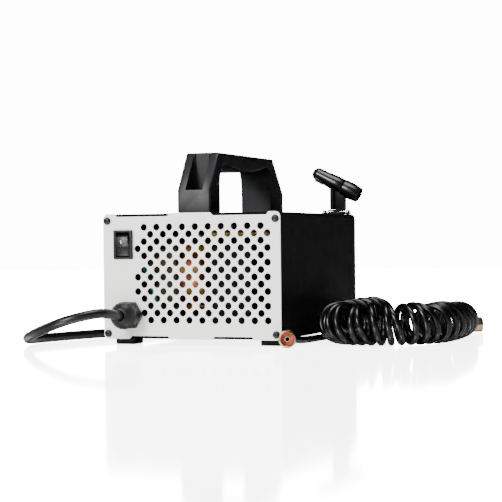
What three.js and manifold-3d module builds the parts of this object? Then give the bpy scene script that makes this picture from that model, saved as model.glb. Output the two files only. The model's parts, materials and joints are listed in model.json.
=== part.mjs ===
// A small electric air blower in a sheet-metal case: perforated end panels, a moulded carrying handle,
// a swivelling tool rest, a rocker switch, a mains lead and a coiled air hose with brass ends.
//
// Drawing frame, in millimetres: X to the right with 0 at the middle of the front panel, Y to the back
// with 0 at the front panel's outer face, Z up with 0 on the table. The group is moved at the end, so
// that its origin is at the middle of the base of everything but the mains lead and the air hose.
import * as THREE from "three";
import { mergeVertices } from "three/addons/utils/BufferGeometryUtils.js";
import Module from "manifold-3d";

const wasm = await Module();
wasm.setup();

// ---- driving dimensions -------------------------------------------------------------------------
const GAP = 0.3; // left between pieces that touch
const RUNNING = 0.1; // radial clearance of a shaft in its bearing
const SIDES = 20; // facets of an ordinary round piece
const FINE_SIDES = 28; // facets of a large round piece

const caseWidth = 137;
const caseDepth = 182;
const sheet = 1.2;
const footHeight = 4.7;
const coverHeight = 90.2; // from the cover's lower edge to its top face
const coverBend = 3; // outside radius of the cover's long bends
const panelRise = 0.3; // the end panels stand this much above the cover
const panelDrop = 0.4; // and this much below it
const panelCorner = 3.75;
const lipDepth = 6.8; // the cover's turned-down lip behind each end panel
const tabSize = 10; // the cover's screw tabs

const recessDepth = 2.2; // shallow steps along the panels' upper and lower edges
const recessSlant = 2;
const upperRecess = [15.5, 60]; // distances from the middle
const lowerRecess = [16, 48.5];

const ventRadius = 2.7;
const ventPitch = 10; // along a row
const ventRowPitch = 5.16; // between rows
const ventRows = 14;
const ventFirst = [-36.2, 80.5]; // first vent of the top row: X, and height above the cover's lower edge
const ventShortRow = 10; // the staggered rows hold one more
const rearVentRows = 7;
const rearVentShortRow = 5;
const rearVentFirst = [-54, 56];
const ventWeb = 1; // least metal between a vent and another cut-out

const footSize = [15.3, 15];
const footInset = [4.2, 11]; // from the case's side and end

const screwInset = [3.5, 5.1]; // the panel screws, from the panel's side and its upper edge
const screwLift = 4; // the lower screws, above the panel's lower edge
const screwRadius = 1.5;
const screwHead = [2.75, 1.7]; // radius, height
const screwLength = 7;

const handleWidth = 26;
const handleFront = 8; // Y of the front upright's front face
const handleRear = 16.4; // from the rear upright's rear face to the rear panel's outer face
const uprightFront = 20; // along Y, at the foot
const uprightRear = 27.6;
const handleHeight = 44.1; // above the cover's seat
const uprightStraight = 16.5; // height over which the outer faces are upright
const frontLean = 18; // how far the front face leans back above that
const rearLean = 23.6;
const gripThickness = 8; // at the ends of the grip
const gripBelly = 4.8; // extra thickness at its middle
const handleEdge = 1.6; // edge rounding
const pocketWidth = 13;
const pocketSill = 16.5; // above the handle's foot
const pocketCorner = 1.5;
const handleScrewRadius = 2;
const handleScrewDepth = 13;
const handleScrewHead = [4, 2.6]; // radius, height

const restX = 56; // the tool rest's swivel axis
const restFromRear = 10;
const restFlange = [24, 14, 1.6]; // length, width, thickness
const restScrewReach = 9.7;
const restScrewRadius = 1.1;
const restScrewHead = [1.9, 1.3];
const restBoss = [7.4, 0.5]; // radius, height above the flange
const restPinRadius = 2.8;
const restDisc = [7.2, 1.2];
const restBlock = [7.4, 7];
const restBlockOffset = 3.7;
const restRodRadius = 2.4;
const restRodOffset = -2.9;
const restHeadHeight = 25; // of the head's middle above the cover
const restHeadTilt = 27.5; // degrees, the right end lower
const restHeadLength = 43;
const restHeadRadii = [5.3, 6.3, 5.4]; // round end, waist, core inside the collar
const restWaist = [13, 15]; // from the head's round end to the start and end of the step to the waist
const restCollar = [14.7, 6.75, 5.6]; // length, radius at its inner end, radius at its outer end
const restHeadRecess = 2.5; // of the core in the collar

const switchX = -52.2;
const switchRise = 68.1; // of the switch's middle above the cover's lower edge
const switchBezel = [15, 21, 1.7];
const switchBody = [12.6, 18.6, 16];
const rockerWidth = 10;
const rockerReach = 7.12; // from the pivot to each end along the panel
const rockerCrown = 6.42; // the ends in front of the pivot
const rockerTilt = 12; // degrees either way
const rockerBack = [3, 4]; // depth behind the pivot and half height of the rocker's back
const rockerPivotDepth = 3; // behind the panel's face
const rockerWell = 5.4; // the well behind the pivot
const rockerEndClearance = 0.4;

const glandX = -48;
const glandRise = 17; // above the cover's lower edge
const glandThread = 7.5;
const glandFlats = 19;
const glandHex = 4;
const glandDome = [9.4, 13.4]; // radius, length
const glandNut = 4;
const cordRadius = 3.5;
const cordSlack = 0.5; // between the cord and the gland's bore

const coilMiddle = [-24, 234]; // of the mains lead's round coil
const coilTurnRadius = 36.5; // at the middle of its turns
const coilColumns = 2;
const coilLayers = 3;
const plugRadius = 11;
const plugBody = 36;
const plugPin = [2.4, 19, 19]; // radius, length, spacing
const plugStart = -10.5; // where the cord meets the plug, from the coil's middle

const hoseRadius = 2.5;
const hoseCoilRadius = 15.4; // outside of the coil's turns
const nutRadius = 6;
const nutLength = 12;
const ferrule = [3.9, 3.2]; // radius and length of the front nut's short sleeve
const guardSize = [4.6, 14]; // and of the rear nut's sleeve
const nutSocket = 7; // depth of the nut's wide bore
const washer = [4.2, 2.75, 1.2]; // outer radius, inner radius, thickness
const washerDepth = 4; // behind the nut's mouth
const nipple = [2.4, 1.4]; // outer radius and bore of the tube that the nut turns on
const nippleDepth = [4, 6.2]; // of its end behind the nut's mouth: at the front nut, at the rear nut

const shaftY = 55; // the motor's shaft runs along X
const shaftRise = 45; // above the cover's lower edge
const shaftRadius = 4;
const coreSize = 58;
const coreLeft = -44;
const coreThickness = 22;
const coreCorner = 9;
const rotorRadius = 20;
const airGap = 0.8;
const windingRadii = [21.4, 27];
const windingReachRight = 19.7;
const windingReachLeft = 7.7;
const bracketThickness = 4.7;
const bearingRadius = 9.5;
const bearingWidth = 5;
const fanRadius = 25;
const fanWidth = 6.5;
const fanBlades = 7;

const crankcaseLeft = 3;
const crankcaseWidth = 30;
const crankcaseHeight = 46; // from the wall over the shaft to the same distance under it
const crankcaseWall = 6;
const crankDisc = [12, 6];
const crankThrow = 2.5;
const crankPin = [3, 9];
const cylinderOffset = 5; // from the crank disc's face to the cylinder's middle
const rodEyeRadius = 6.5;
const rodWidth = 5;
const pistonRadius = 13;
const pistonThickness = 5;
const pistonDistance = 38; // from the crank pin to the piston's back
const cupRadius = 13.5;
const cupThickness = 1.5;
const boreRadius = 16.7; // wide enough for the piston's sideways swing
const cylinderWall = 3.4;
const finReach = 2;
const finCount = 4;
const headClearance = 1.2;
const headThickness = 13.7;
const portRadius = 4.5;
const portLength = 6;
const pipeRadius = 3;
const outletThread = [4.9, 9.7];
const outletHex = [7, 4];
const outletBore = 2.5;
const outletInside = 17; // length inside the rear panel
const capacitorRadius = 13;
const capacitorLength = 50;
const capacitorAt = [-40, 100];

// ---- values worked out from them ----------------------------------------------------------------
const halfWidth = caseWidth / 2;
const coverBottom = footHeight + GAP;
const coverTop = coverBottom + coverHeight;
const panelLow = coverBottom - panelDrop;
const panelHigh = coverTop + panelRise;
const innerFront = sheet + GAP; // where the cover and base start behind the front panel
const innerRear = caseDepth - sheet - GAP;
const baseTop = coverBottom + sheet;
const seat = coverTop + GAP; // what stands on the cover starts here
const screwX = halfWidth - screwInset[0];
const upperScrewZ = panelHigh - screwInset[1];
const lowerScrewZ = panelLow + screwLift;
const shaftZ = coverBottom + shaftRise;
const glandZ = coverBottom + glandRise;
const switchZ = coverBottom + switchRise;
const cylinderX = crankcaseLeft + crankcaseWall + GAP + crankDisc[1] + cylinderOffset;

// ---- shapes -------------------------------------------------------------------------------------
const box = (x0, x1, y0, y1, z0, z1) =>
  new THREE.BoxGeometry(x1 - x0, y1 - y0, z1 - z0).translate((x0 + x1) / 2, (y0 + y1) / 2, (z0 + z1) / 2);

const outline = (points) => new THREE.Shape(points.map(([x, y]) => new THREE.Vector2(x, y)));

const ring = (radius, sides, x = 0, y = 0, turn = 0) =>
  Array.from({ length: sides }, (_, i) => {
    const angle = turn + (i * 2 * Math.PI) / sides;
    return [x + radius * Math.cos(angle), y + radius * Math.sin(angle)];
  });

// A round bore of flat facets that still clears a radius.
const clearing = (radius, sides = SIDES) => radius / Math.cos(Math.PI / sides);

const stretch = (shape, depth, bevel = 0) =>
  new THREE.ExtrudeGeometry(shape, {
    depth: depth - 2 * bevel,
    curveSegments: 8,
    bevelEnabled: bevel > 0,
    bevelThickness: bevel,
    bevelSize: bevel,
    bevelOffset: -bevel,
    bevelSegments: 2,
  }).translate(0, 0, bevel);

// A shape drawn in X and Z, stretched along Y.
const alongY = (shape, y0, y1) => stretch(shape, y1 - y0).rotateX(Math.PI / 2).translate(0, y1, 0);

// A shape drawn in Y and Z, stretched along X.
const alongX = (shape, x0, x1, bevel = 0) =>
  stretch(shape, x1 - x0, bevel)
    .applyMatrix4(new THREE.Matrix4().set(0, 0, 1, 0, 1, 0, 0, 0, 0, 1, 0, 0, 0, 0, 0, 1))
    .translate(x0, 0, 0);

// A shape drawn in X and Y, stretched along Z.
const alongZ = (shape, z0, z1) => stretch(shape, z1 - z0).translate(0, 0, z0);

// A round piece about Y from [radius, position] pairs; a piece with a hole all through closes on itself.
function turned(profile, sides = SIDES) {
  const closed = profile.every(([r]) => r > 0) ? [...profile, profile[0]] : profile;
  const area = closed.slice(1).reduce((sum, [r, y], i) => sum + closed[i][0] * y - r * closed[i][1], 0);
  const ordered = area < 0 ? [...closed].reverse() : closed;
  return new THREE.LatheGeometry(
    ordered.map(([r, y]) => new THREE.Vector2(r, y)),
    sides,
  );
}
const tube = (outer, inner, from, to, sides) =>
  turned([[inner, from], [outer, from], [outer, to], [inner, to]], sides);
const rod = (radius, from, to, sides) => turned([[0, from], [radius, from], [radius, to], [0, to]], sides);
const toX = (geometry) => geometry.rotateZ(-Math.PI / 2);
const toZ = (geometry) => geometry.rotateX(Math.PI / 2);
const onShaft = (geometry) => toX(geometry).translate(0, shaftY, shaftZ);

// A hose or cord along a smooth curve through points.
function flex(points, radius, sides, steps) {
  const curve = new THREE.CatmullRomCurve3(points.map((p) => new THREE.Vector3(...p)), false, "centripetal");
  const section = outline(ring(radius, sides, 0, 0, Math.PI / sides));
  return new THREE.ExtrudeGeometry(section, { steps, extrudePath: curve, bevelEnabled: false });
}

// Booleans.
function solid(geometry) {
  const bare = geometry.index ? geometry.toNonIndexed() : geometry.clone();
  bare.deleteAttribute("normal");
  bare.deleteAttribute("uv");
  const merged = mergeVertices(bare, 1e-4);
  return new wasm.Manifold(
    new wasm.Mesh({
      numProp: 3,
      vertProperties: new Float32Array(merged.attributes.position.array),
      triVerts: new Uint32Array(merged.index.array),
    }),
  );
}
function geometryOf(manifold) {
  const made = manifold.getMesh();
  const geometry = new THREE.BufferGeometry();
  geometry.setAttribute("position", new THREE.BufferAttribute(made.vertProperties, 3));
  geometry.setIndex(new THREE.BufferAttribute(made.triVerts, 1));
  return geometry;
}
const joined = (...parts) => parts.map(solid).reduce((a, b) => a.add(b));
const cut = (whole, ...tools) =>
  geometryOf(tools.reduce((a, tool) => a.subtract(solid(tool)), whole.subtract ? whole : solid(whole)));

// ---- materials ----------------------------------------------------------------------------------
const finish = (color, roughness, metalness = 0) =>
  new THREE.MeshStandardMaterial({ color, roughness, metalness });
const whitePowder = finish(0xe0dedc, 0.5);
const blackPowder = finish(0x1c1c1d, 0.55);
const blackPlastic = finish(0x2a2a2c, 0.5);
const glossBlack = finish(0x161617, 0.25);
const blackRubber = finish(0x151515, 0.85);
const blackSteel = finish(0x1a1a1b, 0.4, 0.8);
const brightSteel = finish(0xb8babd, 0.3, 1);
const brass = finish(0xc8b090, 0.35, 1);
const redFibre = finish(0xc03a20, 0.7);
const blackVinyl = finish(0x1b1b1c, 0.45);
const castAluminium = finish(0xa4a6a8, 0.55, 0.9);
const laminations = finish(0x5e6054, 0.6, 0.6);
const copper = finish(0xb5602f, 0.4, 0.8);
const greyCan = finish(0xd8d8d4, 0.4);

const group = new THREE.Group();
function add(name, geometry, material) {
  const mesh = new THREE.Mesh(geometry, material);
  mesh.name = name;
  group.add(mesh);
  return mesh;
}

// ---- case ---------------------------------------------------------------------------------------
const mirrored = (points) => [...points, ...[...points].reverse().map(([x, z]) => [-x, z])];

function panelOutline() {
  const corner = (x, z, from) =>
    Array.from({ length: 4 }, (_, i) => {
      const angle = ((from + i * 30) * Math.PI) / 180;
      return [x + panelCorner * Math.cos(angle), z + panelCorner * Math.sin(angle)];
    });
  const right = [
    [lowerRecess[0], panelLow],
    [lowerRecess[0] + recessSlant, panelLow + recessDepth],
    [lowerRecess[1] - recessSlant, panelLow + recessDepth],
    [lowerRecess[1], panelLow],
    ...corner(halfWidth - panelCorner, panelLow + panelCorner, -90),
    ...corner(halfWidth - panelCorner, panelHigh - panelCorner, 0),
    [upperRecess[1], panelHigh],
    [upperRecess[1] - recessSlant, panelHigh - recessDepth],
    [upperRecess[0] + recessSlant, panelHigh - recessDepth],
    [upperRecess[0], panelHigh],
  ];
  return mirrored(right);
}

// Staggered rows of vents, without those that would run into another cut-out.
function vents(first, rows, shortRow, cutouts) {
  const found = [];
  for (let row = 0; row < rows; row += 1) {
    const longer = row % 2;
    for (let i = 0; i < shortRow + longer; i += 1) {
      const x = first[0] + (i - longer / 2) * ventPitch;
      const z = coverBottom + first[1] - row * ventRowPitch;
      const free = cutouts.every(([cx, cz, r]) => Math.hypot(x - cx, z - cz) > r + ventRadius + ventWeb);
      const inside = Math.abs(x) < halfWidth - panelCorner && z > baseTop + tabSize / 2;
      if (free && inside) found.push(ring(ventRadius, 6, x, z));
    }
  }
  return found;
}
const screwHoles = [-1, 1].flatMap((side) =>
  [lowerScrewZ, upperScrewZ].map((z) => ring(screwRadius + GAP, 8, side * screwX, z)),
);
function panel(holes) {
  const shape = outline(panelOutline());
  holes.forEach((points) => shape.holes.push(outline(points)));
  return shape;
}
const windowHalf = [switchBody[0] / 2 + GAP, switchBody[1] / 2 + GAP];
const switchWindow = [[-1, -1], [1, -1], [1, 1], [-1, 1]].map(([sx, sz]) => [
  switchX + sx * windowHalf[0],
  switchZ + sz * windowHalf[1],
]);
const switchKeepOut = [0.5, -0.5].map((share) => [
  switchX,
  switchZ + share * switchBezel[1],
  Math.hypot(switchBezel[0], switchBezel[1]) / 3,
]);
const glandHole = glandThread + GAP;
const outletX = cylinderX;
const outletHole = outletThread[0] + GAP;

add(
  "front_panel",
  alongY(
    panel([
      ...screwHoles,
      switchWindow,
      ring(glandHole, 16, glandX, glandZ),
      ...vents(ventFirst, ventRows, ventShortRow, [[glandX, glandZ, glandHole], ...switchKeepOut]),
    ]),
    0,
    sheet,
  ),
  whitePowder,
);
add(
  "rear_panel",
  alongY(
    panel([
      ...screwHoles,
      ring(outletHole, 16, outletX, shaftZ),
      ...vents(rearVentFirst, rearVentRows, rearVentShortRow, [[outletX, shaftZ, outletHole]]),
    ]),
    caseDepth - sheet,
    caseDepth,
  ),
  whitePowder,
);

function coverSection() {
  const shape = new THREE.Shape();
  const wall = halfWidth - sheet;
  const bend = Math.max(coverBend - sheet, 0.5);
  shape.moveTo(-halfWidth, coverBottom);
  shape.lineTo(-wall, coverBottom);
  shape.lineTo(-wall, coverTop - sheet - bend);
  shape.absarc(-wall + bend, coverTop - sheet - bend, bend, Math.PI, Math.PI / 2, true);
  shape.lineTo(wall - bend, coverTop - sheet);
  shape.absarc(wall - bend, coverTop - sheet - bend, bend, Math.PI / 2, 0, true);
  shape.lineTo(wall, coverBottom);
  shape.lineTo(halfWidth, coverBottom);
  shape.lineTo(halfWidth, coverTop - coverBend);
  shape.absarc(halfWidth - coverBend, coverTop - coverBend, coverBend, 0, Math.PI / 2, false);
  shape.lineTo(-halfWidth + coverBend, coverTop);
  shape.absarc(-halfWidth + coverBend, coverTop - coverBend, coverBend, Math.PI / 2, Math.PI, false);
  return shape;
}
const handleEnd = caseDepth - handleRear; // Y of the rear upright's rear face
const handleScrewY = [handleFront + uprightFront / 2, handleEnd - uprightRear / 2];
const restY = caseDepth - restFromRear;
const restScrewX = [restX - restScrewReach, restX + restScrewReach];

function topCover() {
  const reach = halfWidth - sheet / 2; // pieces are joined half a sheet into the walls
  const parts = [alongY(coverSection(), innerFront, innerRear)];
  const holes = [];
  [innerFront, innerRear - sheet].forEach((y) => {
    parts.push(box(-reach, reach, y, y + sheet, coverTop - lipDepth, coverTop - sheet / 2));
    [-1, 1].forEach((side) => {
      const x = [side * reach, side * (reach - tabSize)].sort((a, b) => a - b);
      parts.push(box(...x, y, y + sheet, coverTop - tabSize, coverTop - sheet / 2));
      parts.push(box(...x, y, y + sheet, baseTop + GAP, baseTop + GAP + tabSize - 3));
      [lowerScrewZ, upperScrewZ].forEach((z) => {
        holes.push(rod(screwRadius + GAP, y - 1, y + sheet + 1, 8).translate(side * screwX, 0, z));
      });
    });
  });
  handleScrewY.forEach((y) => {
    holes.push(toZ(rod(handleScrewRadius + GAP, 0, 10, 12)).translate(0, y, coverTop - 5));
  });
  restScrewX.forEach((x) => {
    holes.push(toZ(rod(restScrewRadius + GAP, 0, 10, 8)).translate(x, restY, coverTop - 5));
  });
  return cut(joined(...parts), ...holes);
}
add("top_cover", topCover(), blackPowder);

const baseHalf = halfWidth - sheet - GAP;
const baseLipHalf = halfWidth - sheet - tabSize - GAP;
const baseLip = 4; // height of the base's lips above its floor
add(
  "base_plate",
  geometryOf(
    joined(
      box(-baseHalf, baseHalf, innerFront, innerRear, coverBottom, baseTop),
      ...[innerFront, innerRear - sheet].map((y) =>
        box(-baseLipHalf, baseLipHalf, y, y + sheet, coverBottom, baseTop + baseLip),
      ),
    ),
  ),
  blackPowder,
);

const footNames = { front: footInset[1], rear: caseDepth - footInset[1] - footSize[1] };
Object.entries(footNames).forEach(([place, y]) => {
  [["left", -1], ["right", 1]].forEach(([hand, side]) => {
    const middle = side * (halfWidth - footInset[0] - footSize[0] / 2);
    const half = footSize[0] / 2;
    const sole = [[-half, 0.8], [-half + 0.6, 0], [half - 0.6, 0], [half, 0.8]];
    const section = outline([...sole, [half, footHeight], [-half, footHeight]]);
    add(`foot_${place}_${hand}`, alongY(section, y, y + footSize[1]).translate(middle, 0, 0), blackRubber);
  });
});

function buttonScrew(radius, head, length) {
  return turned([[0, length], [radius, length], [radius, 0], [head[0], 0], [head[0], -head[1] * 0.45],
    [head[0] * 0.6, -head[1]], [0, -head[1]]], 10);
}
[["front", 0], ["rear", Math.PI]].forEach(([place, turn]) => {
  const face = place === "front" ? -GAP : caseDepth + GAP;
  [["left", -1], ["right", 1]].forEach(([hand, side]) => {
    [["lower", lowerScrewZ], ["upper", upperScrewZ]].forEach(([height, z]) => {
      const screw = buttonScrew(screwRadius, screwHead, screwLength).rotateZ(turn);
      add(`${place}_screw_${height}_${hand}`, screw.translate(side * screwX, face, z), blackSteel);
    });
  });
});

// ---- handle -------------------------------------------------------------------------------------
function handleSide() {
  const rear = handleEnd;
  const top = seat + handleHeight;
  const shape = new THREE.Shape();
  const innerFrontY = handleFront + uprightFront;
  const innerRearY = rear - uprightRear;
  const under = top - gripThickness;
  shape.moveTo(handleFront, seat);
  shape.lineTo(innerFrontY, seat);
  shape.lineTo(innerFrontY, seat + uprightStraight + 4);
  shape.quadraticCurveTo(innerFrontY + 1, under - 1, innerFrontY + 10, under);
  shape.quadraticCurveTo((innerFrontY + innerRearY) / 2, under - 2 * gripBelly, innerRearY - 10, under + 1);
  shape.quadraticCurveTo(innerRearY - 1, under, innerRearY, seat + uprightStraight + 2);
  shape.lineTo(innerRearY, seat);
  shape.lineTo(rear, seat);
  shape.lineTo(rear, seat + uprightStraight + 1);
  shape.lineTo(rear - rearLean, top);
  shape.lineTo(handleFront + frontLean, top);
  shape.lineTo(handleFront, seat + uprightStraight);
  return shape;
}
function handle() {
  const half = pocketWidth / 2;
  const apex = handleFront + frontLean;
  const pocket = new THREE.Shape();
  pocket.moveTo(-half, handleFront - 5);
  pocket.lineTo(half, handleFront - 5);
  pocket.lineTo(half, apex - pocketCorner);
  pocket.lineTo(half - pocketCorner, apex);
  pocket.lineTo(pocketCorner - half, apex);
  pocket.lineTo(-half, apex - pocketCorner);
  const cutter = stretch(pocket, 2 * handleHeight).translate(0, 0, seat + pocketSill);
  const bores = handleScrewY.map((y) =>
    toZ(rod(handleScrewRadius + GAP, -1, handleScrewDepth + 1, 12)).translate(0, y, seat),
  );
  return cut(alongX(handleSide(), -handleWidth / 2, handleWidth / 2, handleEdge), cutter, ...bores);
}
add("handle", handle(), blackPlastic);
["front", "rear"].forEach((place, i) => {
  const under = coverTop - sheet - GAP;
  const [head, headHeight] = handleScrewHead;
  const tip = headHeight + sheet + handleScrewDepth;
  const profile = [[0, 0], [head, 0], [head, headHeight], [handleScrewRadius, headHeight]];
  const screw = turned([...profile, [handleScrewRadius, tip], [0, tip]], 12);
  add(`handle_screw_${place}`, toZ(screw).translate(0, handleScrewY[i], under - headHeight), brightSteel);
});

// ---- tool rest ----------------------------------------------------------------------------------
const flangeTop = seat + restFlange[2];
const bossTop = flangeTop + restBoss[1];
const restHeadZ = coverTop + restHeadHeight;
function restFlangeShape() {
  const shape = new THREE.Shape();
  const radius = restFlange[1] / 2;
  const reach = restFlange[0] / 2 - radius;
  shape.absarc(reach, 0, radius, -Math.PI / 2, Math.PI / 2, false);
  shape.absarc(-reach, 0, radius, Math.PI / 2, (3 * Math.PI) / 2, false);
  return shape;
}
const atRest = (geometry) => geometry.translate(restX, restY, 0);
add(
  "rest_flange",
  cut(
    joined(
      atRest(alongZ(restFlangeShape(), seat, flangeTop)),
      atRest(toZ(rod(restBoss[0], flangeTop - 1, bossTop, SIDES))),
    ),
    atRest(toZ(rod(clearing(restPinRadius + RUNNING), seat + 1, bossTop + 1))),
    ...restScrewX.map((x) => toZ(rod(restScrewRadius + GAP, seat - 1, flangeTop + 1, 8)).translate(x, restY, 0)),
  ),
  blackPlastic,
);
["left", "right"].forEach((hand, i) => {
  const screw = turned([[0, -restFlange[2] - sheet - 3], [restScrewRadius, -restFlange[2] - sheet - 3],
    [restScrewRadius, GAP], [restScrewHead[0], GAP], [restScrewHead[0] * 0.8, GAP + restScrewHead[1]],
    [0, GAP + restScrewHead[1]]], 8);
  add(`rest_screw_${hand}`, toZ(screw).translate(restScrewX[i], restY, flangeTop), brightSteel);
});

const onRestHead = (geometry) =>
  toX(geometry).rotateY(THREE.MathUtils.degToRad(restHeadTilt)).translate(restX, restY, restHeadZ);
const headStart = -restHeadLength / 2;
const headEnd = restHeadLength / 2;
const collarStart = headEnd - restCollar[0];
const roundEnd = Array.from({ length: 5 }, (_, i) => {
  const angle = (i * Math.PI) / 8;
  const [radius] = restHeadRadii;
  return [radius * Math.sin(angle), headStart + radius * (1 - Math.cos(angle))];
});
add(
  "rest_head",
  onRestHead(
    turned([
      ...roundEnd,
      [restHeadRadii[0], headStart + restWaist[0]],
      [restHeadRadii[1], headStart + restWaist[1]],
      [restHeadRadii[1], collarStart - GAP],
      [restHeadRadii[2], collarStart - GAP],
      [restHeadRadii[2], headEnd - restHeadRecess],
      [0, headEnd - restHeadRecess],
    ]),
  ),
  glossBlack,
);
const collarBore = clearing(restHeadRadii[2] + RUNNING);
add(
  "rest_collar",
  onRestHead(turned([[collarBore, collarStart], [restCollar[1] - 0.5, collarStart],
    [restCollar[1], collarStart + 1], [restCollar[1], collarStart + restCollar[0] * 0.6],
    [restCollar[2], headEnd], [collarBore, headEnd]])),
  blackPlastic,
);
const discLow = bossTop + GAP;
const discTop = discLow + restDisc[1];
const headEnvelope = onRestHead(rod(clearing(restCollar[1] + GAP), headStart, headEnd));
const block = restBlock.map((size) => size / 2);
add(
  "rest_post",
  cut(
    joined(
      atRest(toZ(rod(restDisc[0], discLow, discTop))),
      atRest(toZ(rod(restPinRadius, seat + 1 + GAP, discLow + 1))),
      atRest(box(restBlockOffset - block[0], restBlockOffset + block[0], -block[1], block[1],
        discLow + 1, restHeadZ)),
    ),
    headEnvelope,
  ),
  blackPlastic,
);
add(
  "rest_rod",
  cut(
    atRest(toZ(rod(restRodRadius, discTop + GAP, restHeadZ, 12)).translate(restRodOffset, 0, 0)),
    headEnvelope,
  ),
  glossBlack,
);

// ---- switch -------------------------------------------------------------------------------------
const wellHalf = [rockerWidth / 2 + GAP, Math.hypot(rockerReach, rockerCrown) * 0.9 + rockerEndClearance];
function switchHousing() {
  const bezel = switchBezel.map((size) => size / 2);
  const body = switchBody.map((size) => size / 2);
  return cut(
    joined(
      box(-bezel[0], bezel[0], -GAP - switchBezel[2], -GAP, -bezel[1], bezel[1]),
      box(-body[0], body[0], -GAP - 0.1, switchBody[2], -body[1], body[1]),
    ),
    box(-wellHalf[0], wellHalf[0], -10, rockerPivotDepth + rockerWell, -wellHalf[1], wellHalf[1]),
  );
}
add("switch_body", switchHousing().translate(switchX, 0, switchZ), blackPlastic);
const dish = rockerCrown - rockerReach * Math.tan(THREE.MathUtils.degToRad(rockerTilt));
const shoulder = wellHalf[1] - rockerEndClearance;
const [backDepth, backHalf] = rockerBack;
const rockerSide = [[-rockerCrown, -rockerReach], [0, -shoulder], [backDepth, -backHalf],
  [backDepth, backHalf], [0, shoulder], [-rockerCrown, rockerReach], [-dish, 0]];
const rocker = add("switch_rocker", alongX(outline(rockerSide), -rockerWidth / 2, rockerWidth / 2), glossBlack);
rocker.rotation.x = THREE.MathUtils.degToRad(rockerTilt);
rocker.position.set(switchX, rockerPivotDepth, switchZ);

// ---- cable gland --------------------------------------------------------------------------------
const glandBore = cordRadius + cordSlack;
const atGland = (geometry) => geometry.translate(glandX, 0, glandZ);
const hexagon = (flats) => outline(ring(flats / 2 / Math.cos(Math.PI / 6), 6));
const domeBack = -GAP - glandHex - GAP;
const glandMouth = domeBack - glandDome[1];
add(
  "gland_body",
  cut(
    joined(
      atGland(alongY(hexagon(glandFlats), -GAP - glandHex, -GAP)),
      atGland(rod(glandThread, -GAP - 1, innerFront + glandNut + 4, 16)),
      atGland(rod(glandThread - 0.8, domeBack - 3.5, -GAP - 1, 16)),
    ),
    atGland(rod(glandBore, -30, 30, 12)),
  ),
  blackPlastic,
);
add(
  "gland_dome",
  atGland(turned([[glandThread - 0.3, domeBack], [glandDome[0] - 0.4, domeBack], [glandDome[0], domeBack - 1],
    [glandDome[0], domeBack - 8], [glandDome[0] - 1.2, domeBack - 11], [glandBore + 2, glandMouth],
    [glandBore, glandMouth], [glandBore, domeBack - 4], [glandThread - 0.3, domeBack - 4]])),
  blackPlastic,
);
add(
  "gland_locknut",
  cut(
    atGland(alongY(hexagon(glandFlats), innerFront, innerFront + glandNut)),
    atGland(rod(glandThread + GAP + 0.1, -1, 30, 16)),
  ),
  blackPlastic,
);

// ---- mains lead ---------------------------------------------------------------------------------
const floorRun = cordRadius + 0.1;
add(
  "mains_cord",
  flex(
    [
      [glandX, glandMouth - GAP, glandZ],
      [-48.6, -27, 23.6],
      [-53.5, -38, 24.8],
      [-63.5, -46.5, 22.9],
      [-76.5, -50, 19.3],
      [-93, -46.5, 13.9],
      [-108.5, -36, 8.9],
      [-120, -21.5, 5.6],
      [-126, -4, 4],
      [-126.5, 12, floorRun],
      [-122.5, 30, floorRun],
      [-115.5, 56, floorRun],
      [-107, 82, floorRun],
      [-97.5, 115, floorRun],
      [-88.5, 150, floorRun],
      [-80.5, 180, floorRun],
      [-73.8, 206, floorRun],
      [-70.6, 222, floorRun],
    ],
    cordRadius,
    8,
    44,
  ),
  blackVinyl,
);
const coilHalf = coilColumns * cordRadius + GAP / 2;
const coilTop = 0.1 + 2 * cordRadius * coilLayers + GAP;
add(
  "mains_coil",
  toZ(tube(coilTurnRadius + coilHalf, coilTurnRadius - coilHalf, 0.1, coilTop, FINE_SIDES)).translate(
    ...coilMiddle,
    0,
  ),
  blackVinyl,
);
function plug() {
  const pins = [-1, 1].map((side) =>
    toX(rod(plugPin[0], plugBody - 1, plugBody + plugPin[1], 8)).translate(0, (side * plugPin[2]) / 2, 0),
  );
  const width = plugPin[2] / 2 + plugPin[0] + 3;
  const body = [[0, -5], [plugBody * 0.45, -width * 0.75], [plugBody, -width], [plugBody, width],
    [plugBody * 0.45, width * 0.75], [0, 5]];
  return geometryOf(joined(alongZ(outline(body), -plugRadius / 2, plugRadius / 2), ...pins));
}
add(
  "mains_plug",
  plug().translate(
    coilMiddle[0] + plugStart,
    coilMiddle[1] + coilTurnRadius,
    coilTop + GAP + plugRadius / 2,
  ),
  blackVinyl,
);

// ---- air hose -----------------------------------------------------------------------------------
const hoseFloor = hoseRadius + 0.3;
const hoseFittingZ = nutRadius + 0.3;
const hoseStart = [halfWidth + 9.3, -13.7]; // the front nut's mouth
const hoseStartAngle = THREE.MathUtils.degToRad(19.25); // the front nut's axis, turned from Y
function hoseNut() {
  const neck = hoseRadius + GAP;
  return turned([[neck, nutLength], [nutRadius, nutLength], [nutRadius, 0.6], [nutRadius - 0.6, 0],
    [washer[0] + GAP, 0], [washer[0] + GAP, nutSocket], [neck, nutSocket]], 16);
}
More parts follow.
